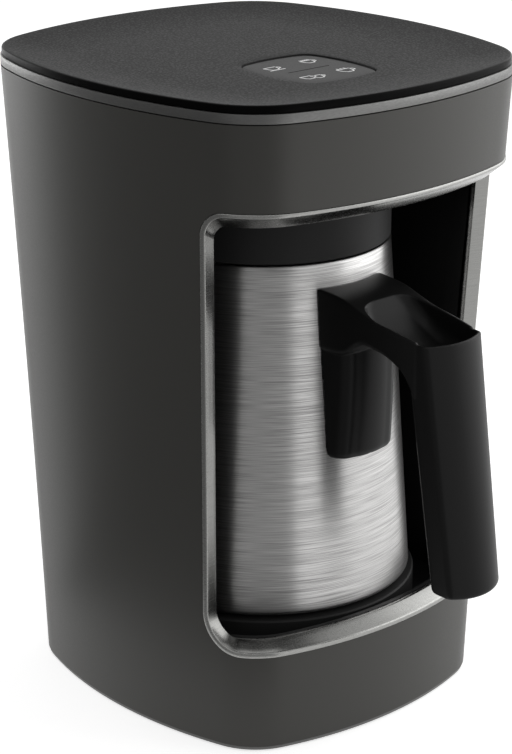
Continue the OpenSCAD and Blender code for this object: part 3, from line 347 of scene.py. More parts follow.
def modified(mesh, *steps):
    """A mesh after modifiers, each given as its kind and its values."""
    obj = loose("work", mesh)
    for kind, values in steps:
        m = obj.modifiers.new(kind.lower(), kind)
        for key, value in values.items():
            setattr(m, key, value)
    return baked(obj)


def cut(mesh, *tools, operation="DIFFERENCE"):
    """Takes closed meshes from a closed mesh, or joins them to it."""
    helpers = [loose("tool", t) for t in tools]
    made = modified(mesh, *(("BOOLEAN", dict(operation=operation, solver="EXACT", object=h)) for h in helpers))
    for h in helpers:
        gone(h)
    return made


# ---- Finishes ----


class Nodes:
    """Short way to place and join nodes in a tree."""

    def __init__(self, tree):
        self.tree = tree

    def put(self, node, inputs):
        """Fills a node's inputs with sockets or values."""
        for key, value in inputs.items():
            if hasattr(value, "links"):
                self.tree.links.new(value, node.inputs[key])
            elif value is not None:
                node.inputs[key].default_value = value
        return node

    def add(self, kind, inputs=(), **settings):
        node = self.tree.nodes.new(kind)
        node.location = (60 * len(self.tree.nodes) - 1660, 0)
        for key, value in settings.items():
            setattr(node, key, value)
        return self.put(node, dict(inputs))

    def maths(self, operation, a, b=None, clamp=False):
        return self.add("ShaderNodeMath", {0: a, 1: b}, operation=operation, use_clamp=clamp).outputs[0]

    def times(self, a, b):
        return self.maths("MULTIPLY", a, b)

    def range(self, value, low, high, to_low=0.0, to_high=1.0):
        ends = {"From Min": low, "From Max": high, "To Min": to_low, "To Max": to_high}
        return self.add("ShaderNodeMapRange", {"Value": value, **ends}, clamp=True).outputs["Result"]

    def blend(self, factor, a, b):
        node = self.add("ShaderNodeMix", {"Factor": factor}, data_type="RGBA")
        for socket, value in zip([k for k, s in enumerate(node.inputs) if s.type == "RGBA"], (a, b)):
            self.put(node, {socket: value if hasattr(value, "links") else (*value, 1)})
        return next(s for s in node.outputs if s.type == "RGBA")

    def noise(self, vector, scale, detail=2.0, rough=0.5):
        inputs = {"Vector": vector, "Scale": scale, "Detail": detail, "Roughness": rough}
        return self.add("ShaderNodeTexNoise", inputs).outputs["Fac"]

    def bump(self, height, strength, depth):
        return self.add("ShaderNodeBump", {"Strength": strength, "Distance": depth, "Height": height}).outputs[0]

    def group(self, name, vector, **values):
        node = self.add("ShaderNodeGroup", node_tree=shared(name))
        return self.put(node, {"Vector": vector, **values}).outputs

    def finish_tree(self, geometry, finish, out):
        """Ends a geometry tree: real geometry with its finish."""
        real = self.add("GeometryNodeRealizeInstances", {0: geometry})
        painted = self.add("GeometryNodeSetMaterial", {"Geometry": real.outputs[0], "Material": finish})
        self.put(out, {0: painted.outputs[0]})


def new_tree(name, kind, inputs, outputs):
    """A node group. An input is a default number or a kind of socket, an output a kind of socket."""
    tree, ids = bpy.data.node_groups.new(name, kind), {}
    for label, value in inputs.items():
        number = isinstance(value, float)
        socket = tree.interface.new_socket(
            label, in_out="INPUT", socket_type="NodeSocketFloat" if number else "NodeSocket" + value)
        if number:
            socket.default_value = value
        ids[label] = socket.identifier
    for label, value in outputs.items():
        tree.interface.new_socket(label, in_out="OUTPUT", socket_type="NodeSocket" + value)
    n = Nodes(tree)
    return n, n.add("NodeGroupInput").outputs, n.add("NodeGroupOutput"), ids


def shader_group(name, inputs, *outputs):
    return new_tree(name, "ShaderNodeTree", {"Vector": "Vector", **inputs}, dict.fromkeys(outputs, "Float"))[:3]


def grain_group():
    """Spark grain of moulded or painted skin: a tone, a height and a slow clouding."""
    n, inn, out = shader_group("Fine grain", {"Scale": 900.0, "Clouding": 9.0}, "Tone", "Height", "Cloud")
    fine = n.noise(inn["Vector"], inn["Scale"], 3.0, 0.6)
    cloud = n.noise(inn["Vector"], inn["Clouding"], 4.0)
    n.put(out, {"Tone": n.range(fine, 0.3, 0.7), "Height": fine, "Cloud": n.range(cloud, 0.35, 0.65)})
    return n.tree


def leather_group():
    """Leather-like grain: irregular cells with soft creases between them."""
    n, inn, out = shader_group("Leather grain", {"Scale": 520.0}, "Height", "Crease")
    warp = n.add("ShaderNodeTexNoise", {"Vector": inn["Vector"], "Scale": 260.0})
    warped = {0: warp.outputs["Color"], 1: (0.0016,) * 3, 2: inn["Vector"]}
    shift = n.add("ShaderNodeVectorMath", warped, operation="MULTIPLY_ADD")
    cells = n.add("ShaderNodeTexVoronoi", feature="DISTANCE_TO_EDGE")
    n.put(cells, {"Vector": shift.outputs[0], "Scale": inn["Scale"]})
    ridge = n.range(cells.outputs["Distance"], 0.0, 0.28)
    fine = n.times(n.noise(inn["Vector"], 1600.0), 0.5)
    n.put(out, {"Height": n.maths("ADD", ridge, fine), "Crease": n.maths("SUBTRACT", 1.0, ridge)})
    return n.tree


def brushed_group():
    """Brush marks that run round an upright axis: a tone, a height and a slow clouding."""
    n, inn, out = shader_group("Brushed round", {"Marks": 1500.0, "Length": 26.0}, "Tone", "Height", "Cloud")
    x, y, z = n.add("ShaderNodeSeparateXYZ", {0: inn["Vector"]}).outputs
    turn = n.maths("ARCTAN2", y, x)
    # the sine and cosine of the turn are read instead of the turn, so that the marks have no seam
    tones = []
    for size, share in ((1.0, 0.55), (2.3, 0.45)):
        line = n.add("ShaderNodeCombineXYZ", {
            "X": n.times(n.maths("COSINE", turn), inn["Length"]), "Y": n.times(n.maths("SINE", turn), inn["Length"]),
            "Z": n.times(n.times(z, inn["Marks"]), size)})
        tones.append(n.times(n.noise(line.outputs[0], 1.0, 1.6, 0.55), share))
    tone = n.maths("ADD", *tones)
    cloud = n.noise(inn["Vector"], 22.0)
    n.put(out, {"Tone": n.range(tone, 0.4, 0.6), "Height": tone, "Cloud": n.range(cloud, 0.35, 0.65)})
    return n.tree


def wear_group():
    """Light rubbing along outward edges, broken up by noise."""
    n, inn, out = shader_group("Edge rub", {"Amount": 0.5}, "Mask")
    edge = n.add("ShaderNodeAttribute", attribute_name="edge").outputs["Fac"]
    broken = n.times(edge, n.range(n.noise(inn["Vector"], 180.0, 4.0), 0.3, 0.7, 0.4, 1.3))
    n.put(out, {"Mask": n.maths("MULTIPLY", n.range(broken, 0.1, 0.8), inn["Amount"], clamp=True)})
    return n.tree


GROUPS = {}


def shared(name):
    if name not in GROUPS:
        makers = {"grain": grain_group, "leather": leather_group, "brushed": brushed_group, "wear": wear_group}
        GROUPS[name] = makers[name]()
    return GROUPS[name]


def cleared(block):
    """The empty node tree of a material or a world."""
    block.use_nodes = True
    block.node_tree.nodes.clear()
    return Nodes(block.node_tree)


def start_material(name):
    material = bpy.data.materials.new(name)
    n = cleared(material)
    shader = n.add("ShaderNodeBsdfPrincipled")
    n.add("ShaderNodeOutputMaterial", {"Surface": shader.outputs[0]})
    return material, n, shader, n.add("ShaderNodeTexCoord").outputs["Object"]


def toned(colour, factor, plus=0.0):
    return [min(1, c * factor + plus) for c in colour]


def moulded(name, colour, rough, grain=900.0, depth=0.00002, specular=0.5, coat=0.0, lift=1.25, rub=0.4,
            metallic=0.0, vary=0.06):
    """Moulded or painted skin with its grain, clouding and rubbed edges."""
    material, n, shader, place = start_material(name)
    g = n.group("grain", place, Scale=grain)
    wear = n.group("wear", place, Amount=rub)["Mask"]
    base = n.blend(g["Cloud"], toned(colour, 1 - vary), colour)
    base = n.blend(n.times(g["Tone"], 0.3), base, toned(colour, lift))
    base = n.blend(wear, base, toned(colour, 1.6, 0.01))
    dull = n.maths("ADD", n.times(g["Tone"], 0.08), rough - 0.04)
    n.put(shader, {
        "Base Color": base, "Roughness": n.maths("SUBTRACT", dull, n.times(wear, 0.1), clamp=True),
        "Normal": n.bump(g["Height"], 0.5, depth), "Specular IOR Level": specular, "Metallic": metallic,
        "Coat Weight": coat, "Coat Roughness": 0.12})
    return material


def brushed_metal(name, colour, rough, marks=1500.0, length=26.0, depth=0.00001, contrast=0.16, aniso=0.0,
                  round_pot=False, rub=0.5, spread=1.0):
    """Metal brushed round the pot's axis or the row frame's upright axis."""
    material, n, shader, place = start_material(name)
    if round_pot:
        shift = n.add("ShaderNodeMapping", vector_type="POINT")
        place = n.put(shift, {"Location": (0, -(POT_Y + AXIS_Y) / 1000, 0), "Vector": place}).outputs[0]
    g = n.group("brushed", place, Marks=marks, Length=length)
    wear = n.group("wear", place, Amount=rub)["Mask"]
    base = n.blend(g["Tone"], toned(colour, 1 - contrast), toned(colour, 1.06))
    base = n.blend(n.times(g["Cloud"], 0.25), base, toned(colour, 0.93))
    base = n.blend(wear, base, toned(colour, 1.12))
    n.put(shader, {
        "Base Color": base, "Roughness": n.range(g["Tone"], 0.0, 1.0, rough + 0.07 * spread, rough - 0.05 * spread),
        "Normal": n.bump(g["Height"], 0.6, depth), "Metallic": 1.0, "Anisotropic": aniso, "Anisotropic Rotation": 0.25})
    if aniso:
        n.put(shader, {"Tangent": n.add("ShaderNodeTangent", direction_type="RADIAL", axis="Z").outputs[0]})
    return material


def leather_plastic(name, colour, rough):
    """The top panel's dark skin with its leather-like grain, with painted shade darkening the grain's creases."""
    material, n, shader, place = start_material(name)
    g = n.group("leather", place, Scale=620.0)
    fine = n.group("grain", place, Scale=1400.0, Clouding=14.0)
    # painted shade: the colour darkens to 0.7 of the panel's own in the grain's creases
    base = n.blend(g["Crease"], colour, toned(colour, 0.7))
    base = n.blend(n.times(fine["Cloud"], 0.35), base, toned(colour, 1.22))
    base = n.blend(n.group("wear", place, Amount=0.35)["Mask"], base, toned(colour, 1.5))
    n.put(shader, {
        "Base Color": base, "Roughness": n.range(g["Crease"], 0.0, 1.0, rough - 0.04, rough + 0.1),
        "Normal": n.bump(g["Height"], 0.7, 0.00005), "Specular IOR Level": 0.12})
    return material


def lens_glass(name, colour, rough):
    material, n, shader, place = start_material(name)
    g = n.group("grain", place, Scale=300.0)
    n.put(shader, {
        "Base Color": n.blend(n.times(g["Cloud"], 0.2), colour, toned(colour, 0.8)),
        "Transmission Weight": 0.6, "IOR": 1.49, "Roughness": n.range(g["Tone"], 0, 1, rough, rough + 0.06)})
    return material


FINISH = {}


def finish_of(name):
    """Each finish is made once, when the first piece asks for it."""
    if name in FINISH:
        return FINISH[name]
    scene = bpy.context.scene
    h, t, p, g = scene.maker_housing, scene.maker_top, scene.maker_pot, scene.maker_handle
    table = {
        "shell": (moulded, "Satin anthracite paint", h.paint, h.paint_roughness,
                  dict(grain=1500, depth=0.00001, specular=0.38, vary=0.04, lift=1.1, metallic=0.2)),
        "trim": (brushed_metal, "Satin trim", h.trim_colour, 0.3,
                 dict(marks=2200, length=40, contrast=0.08, depth=0.000003, rub=0.15)),
        "bevel": (brushed_metal, "Polished bevel", toned(h.trim_colour, 0.74), 0.26,
                  dict(marks=2600, length=60, contrast=0.03, depth=0.0000002, rub=0.0, spread=0.2)),
        "ring": (brushed_metal, "Satin ring", h.ring_colour, 0.42,
                 dict(marks=2600, length=50, contrast=0.08, depth=0.000004, rub=0.1)),
        "strip": (moulded, "Pale foot strip", (0.17, 0.17, 0.166), 0.35, dict(grain=1200, rub=0.2)),
        "panel": (leather_plastic, "Leather-grained top", t.panel_colour, 0.55),
        "panel_edge": (moulded, "Glossy panel edge", (0.002,) * 3, 0.3,
                       dict(grain=600, depth=0.000004, specular=0.03, rub=0.0)),
        "cap": (moulded, "Satin control cap", t.cap_colour, 0.45, dict(grain=1500, depth=0.000006, specular=0.12)),
        "icon": (moulded, "Pale printed marks", t.mark_colour, 0.5,
                 dict(grain=2500, depth=0.000002, rub=0.0, vary=0.12)),
        "bay": (moulded, "Black bay plastic", (0.006,) * 3, 0.42, dict(grain=1200, depth=0.00001, specular=0.2)),
        "skirt": (moulded, "Dark grey plastic", h.skirt_colour, 0.5, dict(grain=1300, depth=0.00001, specular=0.1)),
        "pedestal": (moulded, "Dark pedestal plastic", (0.022,) * 3, 0.5,
                     dict(grain=1300, depth=0.00001, specular=0.1)),
        "steel": (brushed_metal, "Brushed pot steel", p.steel, p.roughness,
                  dict(marks=p.marks, length=p.mark_length, contrast=0.5, depth=0.00003, aniso=0.6, round_pot=True)),
        "disc": (brushed_metal, "Turned base disc", (0.5, 0.49, 0.48), 0.32,
                 dict(marks=900, contrast=0.2, round_pot=True)),
        "plate": (brushed_metal, "Turned heating plate", (0.6, 0.6, 0.59), 0.3,
                  dict(marks=1200, contrast=0.2, round_pot=True)),
        "handle": (moulded, "Black satin handle", g.colour, g.roughness,
                   dict(grain=1600, depth=0.000006, specular=0.115, rub=0.1)),
        "base": (moulded, "Black base plastic", (0.02,) * 3, 0.55, dict(grain=700, depth=0.00004)),
        "rubber": (moulded, "Black rubber", (0.014,) * 3, 0.75, dict(grain=500, depth=0.00005, specular=0.3)),
        "zinc": (brushed_metal, "Zinc-plated steel", (0.55, 0.56, 0.57), 0.3, dict(marks=2000, contrast=0.1)),
        "sheath": (brushed_metal, "Annealed sheath", (0.24, 0.21, 0.18), 0.42, dict(marks=1200, contrast=0.2)),
        "ceramic": (moulded, "Glazed ceramic", (0.62, 0.57, 0.48), 0.25, dict(grain=400, coat=0.4)),
        "lens": (lens_glass, "Dark red lens", (0.12, 0.015, 0.015), 0.04),
        "board": (moulded, "Green solder mask", (0.02, 0.11, 0.04), 0.3, dict(grain=300, coat=0.3)),
        "part": (moulded, "Black component", (0.02,) * 3, 0.45),
        "lamp": (moulded, "Diffuse white lamp", (0.8, 0.8, 0.76), 0.4),
        "relay": (moulded, "Blue component", (0.015, 0.04, 0.14), 0.35),
        "tape": (moulded, "Yellow winding tape", (0.6, 0.36, 0.03), 0.4, dict(grain=500, coat=0.2)),
        "terminal": (moulded, "Green terminal", (0.05, 0.25, 0.08), 0.4, dict(grain=800)),
        "brown": (moulded, "Brown lead", (0.17, 0.07, 0.03), 0.5, dict(grain=600)),
        "white": (moulded, "Braided white sleeve", (0.65, 0.62, 0.54), 0.7, dict(grain=1400, depth=0.00008)),
        "grey": (moulded, "Grey ribbon", (0.4,) * 3, 0.5, dict(grain=1000)),
    }
    make, label, colour, rough, *rest = table[name]
    FINISH[name] = make(label, tuple(colour), rough, **(rest[0] if rest else {}))
    return FINISH[name]


FINISH_NODES = {
    "base": "base_plate top_frame gland_clamp", "strip": "foot_strip", "rubber": "rubber_feet cord_gland",
    "zinc": "base_screws sensor_spring skirt_screws panel_screws pivot_ball board_screws handle_bracket handle_screw",
    "shell": "body_shell", "trim": "window_frame", "bay": "bay_liner", "pedestal": "pedestal", "skirt": "head_skirt",
    "plate": "heating_plate sensor_guide sensor_button", "sheath": "heating_element", "ceramic": "thermal_cutouts",
    "lens": "foam_sensor_lens", "board": "foam_sensor_board control_board power_board", "ring": "satin_ring",
    "panel": "top_panel", "cap": "control_cap", "part": "key_switches buzzer capacitors", "lamp": "indicator_lamps",
    "relay": "relay", "tape": "transformer", "terminal": "terminal_block", "brown": "mains_leads",
    "white": "heater_leads", "grey": "ribbon_cable", "steel": "pot_body", "disc": "pot_base_disc", "handle": "handle",
}
NODE_FINISH = {node: finish for finish, nodes in FINISH_NODES.items() for node in nodes.split()}


# ---- Settings that a user would change ----


def colour(name, text, *value):
    return FloatVectorProperty(name=name, description=text, subtype="COLOR", size=3, default=value, min=0, max=1)


def number(name, text, value, low, high, **kind):
    return FloatProperty(name=name, description=text, default=value, min=low, max=high, **kind)


def spot(name, text, *value):
    return FloatVectorProperty(name=name, description=text, subtype="XYZ", unit="LENGTH", size=3, default=value)


class MakerHousing(bpy.types.PropertyGroup):
    paint: colour("Paint", "Colour of the housing's paint", 0.048, 0.047, 0.043)
    paint_roughness: number("Paint roughness", "How dull the housing's paint is", 0.42, 0, 1)
    trim_colour: colour("Trim", "Colour of the window's trim", 0.31, 0.31, 0.3)
    ring_colour: colour("Ring", "Colour of the ring under the top panel", 0.16, 0.16, 0.157)
    skirt_colour: colour("Skirt", "Colour of the skirt over the pot", 0.024, 0.024, 0.024)
    bead_width: number("Bead width", "Width of the window's bead", 0.0023, 0.0015, 0.003, subtype="DISTANCE")
    bead_crown: number("Bead crown", "How proud of the paint the bead's crown stands", 0.00045, 0.0002, 0.0008,
                       subtype="DISTANCE")


class MakerTop(bpy.types.PropertyGroup):
    panel_colour: colour("Panel", "Colour of the top panel", 0.014, 0.014, 0.014)
    cap_colour: colour("Cap", "Colour of the control cap", 0.018, 0.018, 0.018)
    mark_colour: colour("Marks", "Colour of the printed marks", 0.85, 0.85, 0.85)
    mark_line: number("Mark line", "Line width of the printed marks", 0.0007, 0.0002, 0.001, subtype="DISTANCE")


class MakerPot(bpy.types.PropertyGroup):
    steel: colour("Steel", "Colour of the pot's steel", 0.52, 0.515, 0.51)
    roughness: number("Steel roughness", "How dull the brushed steel is", 0.33, 0.1, 0.6)
    marks: number("Brush marks", "How fine the brush marks are up the pot", 4200.0, 200, 6000)
    mark_length: number("Brush mark length", "How short the brush marks are round the pot", 2.8, 1, 80)
    steps: IntProperty(name="Steps", description="Steps round the pot", default=256, min=64, max=512)


class MakerHandle(bpy.types.PropertyGroup):
    colour: colour("Handle", "Colour of the handle's plastic", 0.008, 0.008, 0.008)
    roughness: number("Handle roughness", "How dull the handle is", 0.36, 0.1, 0.8)
    voxel: number("Detail", "Size of the handle's smallest detail", 0.00045, 0.0004, 0.002, subtype="DISTANCE")
    rounds: IntProperty(name="Softening", description="How often the handle's edges are softened", default=3, min=0,
                        max=30)


class MakerStage(bpy.types.PropertyGroup):
    ambient: number("Ambient", "Strength of the soft light from all round", 0.45, 0, 2)
    key: number("Key", "Power of the large lamp at the right", 12.5, 0, 200)
    fill: number("Fill", "Power of the lamp overhead", 1.5, 0, 200)
    rim: number("Rim", "Power of the lamp at the back", 6.0, 0, 200)
    side: number("Side", "Power of the small lamp over the right side", 0.7, 0, 200)
    shade: number("Shade", "How bright the dark cards at the left look in glossy surfaces", 0.22, 0, 1)
    camera_place: spot("Camera", "Where the camera stands", -0.6418, -0.7018, 0.4690)
    camera_aim: spot("Aim", "What the camera looks at", 0.0, 0.0207, 0.1285)
    lens: number("Lens", "Focal length in millimetres", 115.41, 20, 300)


# ---- Pieces ----


class MAKER_OT_finishes(bpy.types.Operator):
    """Give every carried-over CAD node its finish"""

    bl_idname = "maker.finishes"
    bl_label = "Finishes"

    def execute(self, context):
        for name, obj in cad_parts.items():
            obj.data.materials.clear()
            obj.data.materials.append(finish_of(NODE_FINISH[name]))
        return {"FINISHED"}


class MAKER_OT_shell(bpy.types.Operator):
    """Build the housing's painted shell round the window"""

    bl_idname = "maker.shell"
    bl_label = "Shell"

    def execute(self, context):
        # the front grows out of the window's edge, in shares of the way round the wall, to its own outline
        low, high = levels("body_shell")
        edge = window_edge(-0.15, -0.15, -0.15, CORNER_LOW, CORNER_HIGH)
        inner = np.stack([edge[:, 0] / half_side(edge[:, 1]), edge[:, 1]], 1)
        centre = np.array([0.0, (WINDOW_LOW + WINDOW_HIGH) / 2])
        away = inner - centre
        room = np.where(away[:, 1] > 0, high - centre[1], centre[1] - low)
        reach = np.minimum(1 / np.maximum(np.abs(away[:, 0]), 1e-9), room / np.maximum(np.abs(away[:, 1]), 1e-9))
        outer = centre + away * reach[:, None]
        for corner in ((1, low), (1, high), (-1, high), (-1, low)):
            outer[np.abs((outer - corner) * (100, 1)).sum(1).argmin()] = corner
        steps, crowding, columns, hole_r = 26, 1.3, 150, 6.8
        rings = [inner + (outer - inner) * s for s in np.linspace(0, 1, steps) ** crowding]
        front = np.concatenate([wall(r[:, 0] * half_side(r[:, 1]), r[:, 1]) for r in rings])
        faces = [(a, d, c, b) for a, b, c, d in rows_to_faces(len(rings), len(inner))]
        back = []
        for z in np.unique(np.round(outer[outer[:, 0] > 1 - 1e-9][:, 1], 6)):
            length = float(half_side(z))
            back.append(wall(np.linspace(length, -length, columns), z) * (1, -1, 1))
        faces += rows_to_faces(len(back), columns, start=len(front), closed_ends=False)
        mesh = mesh_of("body_skin", np.concatenate([front, *back]), faces)
        weld(mesh, 2e-6, mend=False)
        mesh = modified(mesh, ("SOLIDIFY", dict(thickness=WALL / 1000, offset=-1, use_even_offset=True)))
        gland_low, gland_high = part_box("cord_gland")
        hole = lathe("hole", [(0, -40), (hole_r, -40), (hole_r, 40), (0, 40)], steps=64)
        hole.transform(Matrix.Translation((0, (gland_low.y + gland_high.y) / 2, (gland_low.z + gland_high.z) / 2))
                       @ Matrix.Rotation(math.pi / 2, 4, "X") @ Matrix.Translation((0, -AXIS_Y / 1000, 0)))
        tidy(hole)
        piece("body_skin", cut(mesh, hole), ["shell"], instead_of=["body_shell"], edges=False)
        return {"FINISHED"}


class MAKER_OT_trim(bpy.types.Operator):
    """Build the window's bead, bevel and lip"""

    bl_idname = "maker.trim"
    bl_label = "Window trim"

    def execute(self, context):
        s = context.scene.maker_housing
        w, crown = s.bead_width * 1000, s.bead_crown * 1000
        # inset at the sides, below and above, corner radii below and above, depth and set-back of each line
        section_rows = [
            (0.0, 0.0, 0.0, 18.0, 10.0, WALL - 0.3, 0),
            (0.0, 0.0, 0.0, 18.0, 10.0, -0.08, 0),
            (0.1, 0.1, 0.1, 17.9, 9.9, -0.26, 0),
            (0.32, 0.32, 0.3, 17.7, 9.7, -crown + 0.1, 0),
            (0.7, 0.7, 0.6, 17.3, 9.4, -crown + 0.02, 0),
            (w / 2, w / 2, 0.9, 18 - w / 2, 9.1, -crown, 0),
            (w - 0.7, w - 0.7, 1.2, 18.7 - w, 8.8, -crown + 0.02, 0),
            (w - 0.3, w - 0.3, 1.45, 18.3 - w, 8.6, -crown + 0.1, 0),
            (w - 0.06, w - 0.06, 1.6, 18.06 - w, 8.4, -0.12, 0),
            (w, w, 1.7, 18 - w, 8.3, 0.1, 0),
            (w + 0.02, w + 0.2, 2.0, 17.8 - w, 8.0, 0.34, 0),
            (w + 0.02, w + 1.2, 3.7, 15.0, 7.2, 2.2, 0),
            (w + 0.02, w + 2.2, 5.3, 13.4, 6.6, 4.1, 0),
            (w + 0.02, w + 3.1, 6.7, 12.1, 6.0, 5.85, 0),
            (w + 0.02, w + 3.2, 6.85, 12.0, 6.0, 6.1, 0.05),
            (w, w + 3.2, 6.85, 12.0, 6.0, 6.15, 0.4),
            (w, w + 3.2, 6.85, 12.0, 6.0, 6.1, 1.45),
            (w - 0.3, w + 2.9, 6.5, 12.0, 6.0, 6.3, 1.5),
            (w - 1.0, w + 2.2, 4.5, 12.0, 6.0, 6.3, 1.5),
            (1.1, 1.1, 1.1, 17.0, 9.0, WALL - 0.3, 0),
        ]
        loops = []
        for *edge, depth, back in section_rows:
            e = window_edge(*edge)
            loops.append(wall(e[:, 0], e[:, 1], depth) + (0, back, 0))
        mesh = skin("window_trim", loops, closed=True)
        bevel_first, bevel_last = 9, 14
        second_finish(mesh, len(loops[0]), bevel_first, bevel_last)
        piece("window_trim", mesh, ["trim", "bevel"], instead_of=["window_frame"], crease=50)
        return {"FINISHED"}


class MAKER_OT_ring(bpy.types.Operator):
    """Build the satin ring under the panel and the pale strip round the foot"""

    bl_idname = "maker.ring"
    bl_label = "Ring and strip"

    def execute(self, context):
        # each profile gives the inset, the end it's measured from (0 low, 1 high) and how far up from there
        for name, node, finish, plan_z, profile in (
            ("ring_skin", "satin_ring", "ring", RING_Z,
             ((4, 0, 0), (0.32, 0, 0), (0.1, 0, 0.08), (0, 0, 0.3),
              (0, 1, -0.3), (0.1, 1, -0.08), (0.32, 1, 0), (4, 1, 0))),
            ("strip_skin", "foot_strip", "strip", 0,
             ((3, 0, 0), (0.75, 0, 0), (0.45, 0, 0.12), (0.4, 0, 0.4),
              (0.4, 1, -0.35), (0.48, 1, -0.08), (0.8, 1, 0), (3, 1, 0))),
        ):
            ends = levels(node)
            rings = [plan_ring(plan_z, inset, ends[end] + up) for inset, end, up in profile]
            piece(name, skin(name, rings, closed=True), [finish], instead_of=[node], crease=30)
        return {"FINISHED"}


class MAKER_OT_panel(bpy.types.Operator):
    """Build the dished top panel with its grain and glossy edge"""

    bl_idname = "maker.panel"
    bl_label = "Top panel"

    def execute(self, context):
        # the flat floor of the dish ends flat_in from the outline, and the dish itself rim_in from it
        dish, gap, flat_in, rim_in, under = 3.0, -0.5, 34, 1.9, levels("top_panel")[0]
        floor = RIM_Z - dish
        flat = plan_ring(RING_Z, flat_in, floor)
        directions = np.arctan2(flat[:, 1] - CAP_Y, flat[:, 0])
        rings = [cap_ring(gap - out, z, directions)
                 for out, z in ((0, under), (0, floor - 0.3), (0.08, floor - 0.08), (0.3, floor))]
        hole = rings[-1]
        rings += [mix(hole, flat, t) for t in np.linspace(0, 1, 13)[1:]]
        rings += [plan_ring(RING_Z, mix(flat_in, rim_in, s), RIM_Z - dish * (1 - s * s))
                  for s in np.linspace(0, 1, 16)[1:]]
        top_rows = len(rings)
        rim = ((1.5, 0), (1.05, 0.06), (0.76, 0.25), (0.64, 0.5), (0.6, 0.8), (0.6, 2.9), (0.7, 3.12), (0.9, 3.2),
               (4.15, 3.2), (4.15, RIM_Z - under))
        rings += [plan_ring(RING_Z, inset, RIM_Z - down) for inset, down in rim]
        mesh = skin("panel_skin", rings, closed=True)
        second_finish(mesh, len(flat), top_rows, len(rings))
        piece("panel_skin", mesh, ["panel", "panel_edge"], instead_of=["top_panel"], crease=40)
        return {"FINISHED"}


def ribbon(points, width):
    """A flat line along points of a plane, as corner points and quads."""
    pts, n = np.asarray(points, float), len(points)
    along = np.concatenate([pts[1:], pts[-1:]]) - np.concatenate([pts[:1], pts[:-1]])
    along /= np.maximum(np.linalg.norm(along, axis=1), 1e-9)[:, None]
    side = np.stack([-along[:, 1], along[:, 0]], 1) * width / 2
    return np.concatenate([pts + side, pts - side]), [(k, n + k, n + k + 1, k + 1) for k in range(n - 1)]


def cup_lines(w, h, steam=0, saucer=False):
    """Lines of a small cup seen from the side, about its own middle."""
    half, waist, foot = w / 2, w / 2 * 0.82, w / 2 * 0.45
    lines = [[(-half, h / 2), (-waist, -h * 0.15), (-foot, -h / 2), (foot, -h / 2), (waist, -h * 0.15), (half, h / 2),
              (-half, h / 2)]]
    turn = np.linspace(-1.2, 1.2, 9)
    lines.append([(half * 0.9 + 0.3 * h * math.cos(a), h * 0.12 + 0.26 * h * math.sin(a)) for a in turn])
    if saucer:
        lines.append([(-w * 0.62, -h / 2 - 0.5), (w * 0.7, -h / 2 - 0.5)])
    for i in range(steam):
        x = (i - (steam - 1) / 2) * w / (steam + 0.6)
        lines.append([(x + dx, h / 2 + up) for dx, up in ((0, 0.5), (0.18, 0.8), (-0.12, 1.15), (0.1, 1.5))])
    return lines


class MAKER_OT_cap(bpy.types.Operator):
    """Build the rocking control cap, its groove and its printed marks"""

    bl_idname = "maker.cap"
    bl_label = "Control cap"

    def execute(self, context):
        fingers, top = levels("control_cap")
        ball = sum(levels("pivot_ball")) / 2
        under, into = top - 2.4, top - 2.0
        groove_x, groove_r, film = 10.7, 0.32, 0.03
        directions = np.linspace(0, 2 * math.pi, 241)[:-1]
        rows = ((6, under), (0.3, under), (0.05, under + 0.08), (0, under + 0.3), (0, top - 0.75), (0.06, top - 0.45),
                (0.22, top - 0.2), (0.5, top - 0.06), (0.95, top), (6, top))
        mesh = skin("cap_skin", [cap_ring(inset, z, directions) for inset, z in rows], capped=True)
        finger = [(0, fingers), (1.8, fingers), (2, fingers + 0.2), (2, into), (0, into)]
        parts = [lathe("finger", finger, (x, CAP_Y + y), 32) for x in (-9.7, 9.7) for y in (-11, 11)]
        socket = [(0, ball + 2.56), (0.9, ball + 2.4), (1.8, ball + 1.8), (2.5, ball + 0.5), (4.1, ball + 0.5),
                  (4.1, into), (0, into)]
        parts.append(lathe("socket", socket, (0, CAP_Y), 40))
        groove = np.concatenate([bend(groove_x, CAP_Y, groove_r, -90, 90, 8),
                                 bend(-groove_x, CAP_Y, groove_r, 90, 270, 8)])
        slit = skin("groove", [upright(groove, z) for z in (top - 0.45, top + 0.5)], capped=True)
        for m in (mesh, *parts, slit):
            tidy(m)
        mesh = cut(cut(mesh, *parts, operation="UNION"), slit)
        piece("cap_skin", mesh, ["cap"], body="cap", instead_of=["control_cap"], crease=32)
        # marks: one cup, a cup with foam, two cups, a wide cup
        second = [[(x + 4.4, y - 1.0) for x, y in line] for line in cup_lines(5.0, 4.2)]
        marks = (((-10.2, -22.3), cup_lines(6.0, 4.6, saucer=True)), ((9.7, -21.8), cup_lines(5.8, 4.2, steam=5)),
                 ((-10.6, -43.6), cup_lines(5.4, 4.4) + second), ((9.9, -43.6), cup_lines(6.6, 5.0, steam=3)))
        points, faces = [], []
        for middle, lines in marks:
            for line in lines:
                corners, quads = ribbon(line, context.scene.maker_top.mark_line * 1000)
                faces += [tuple(len(points) + i for i in q) for q in quads]
                points += [(middle[0] + x, middle[1] + y, top + film) for x, y in corners]
        mesh = modified(mesh_of("cap_marks", points, faces), ("SOLIDIFY", dict(thickness=0.00005, offset=-1)))
        piece("cap_marks", mesh, ["icon"], body="cap", edges=False)
        return {"FINISHED"}


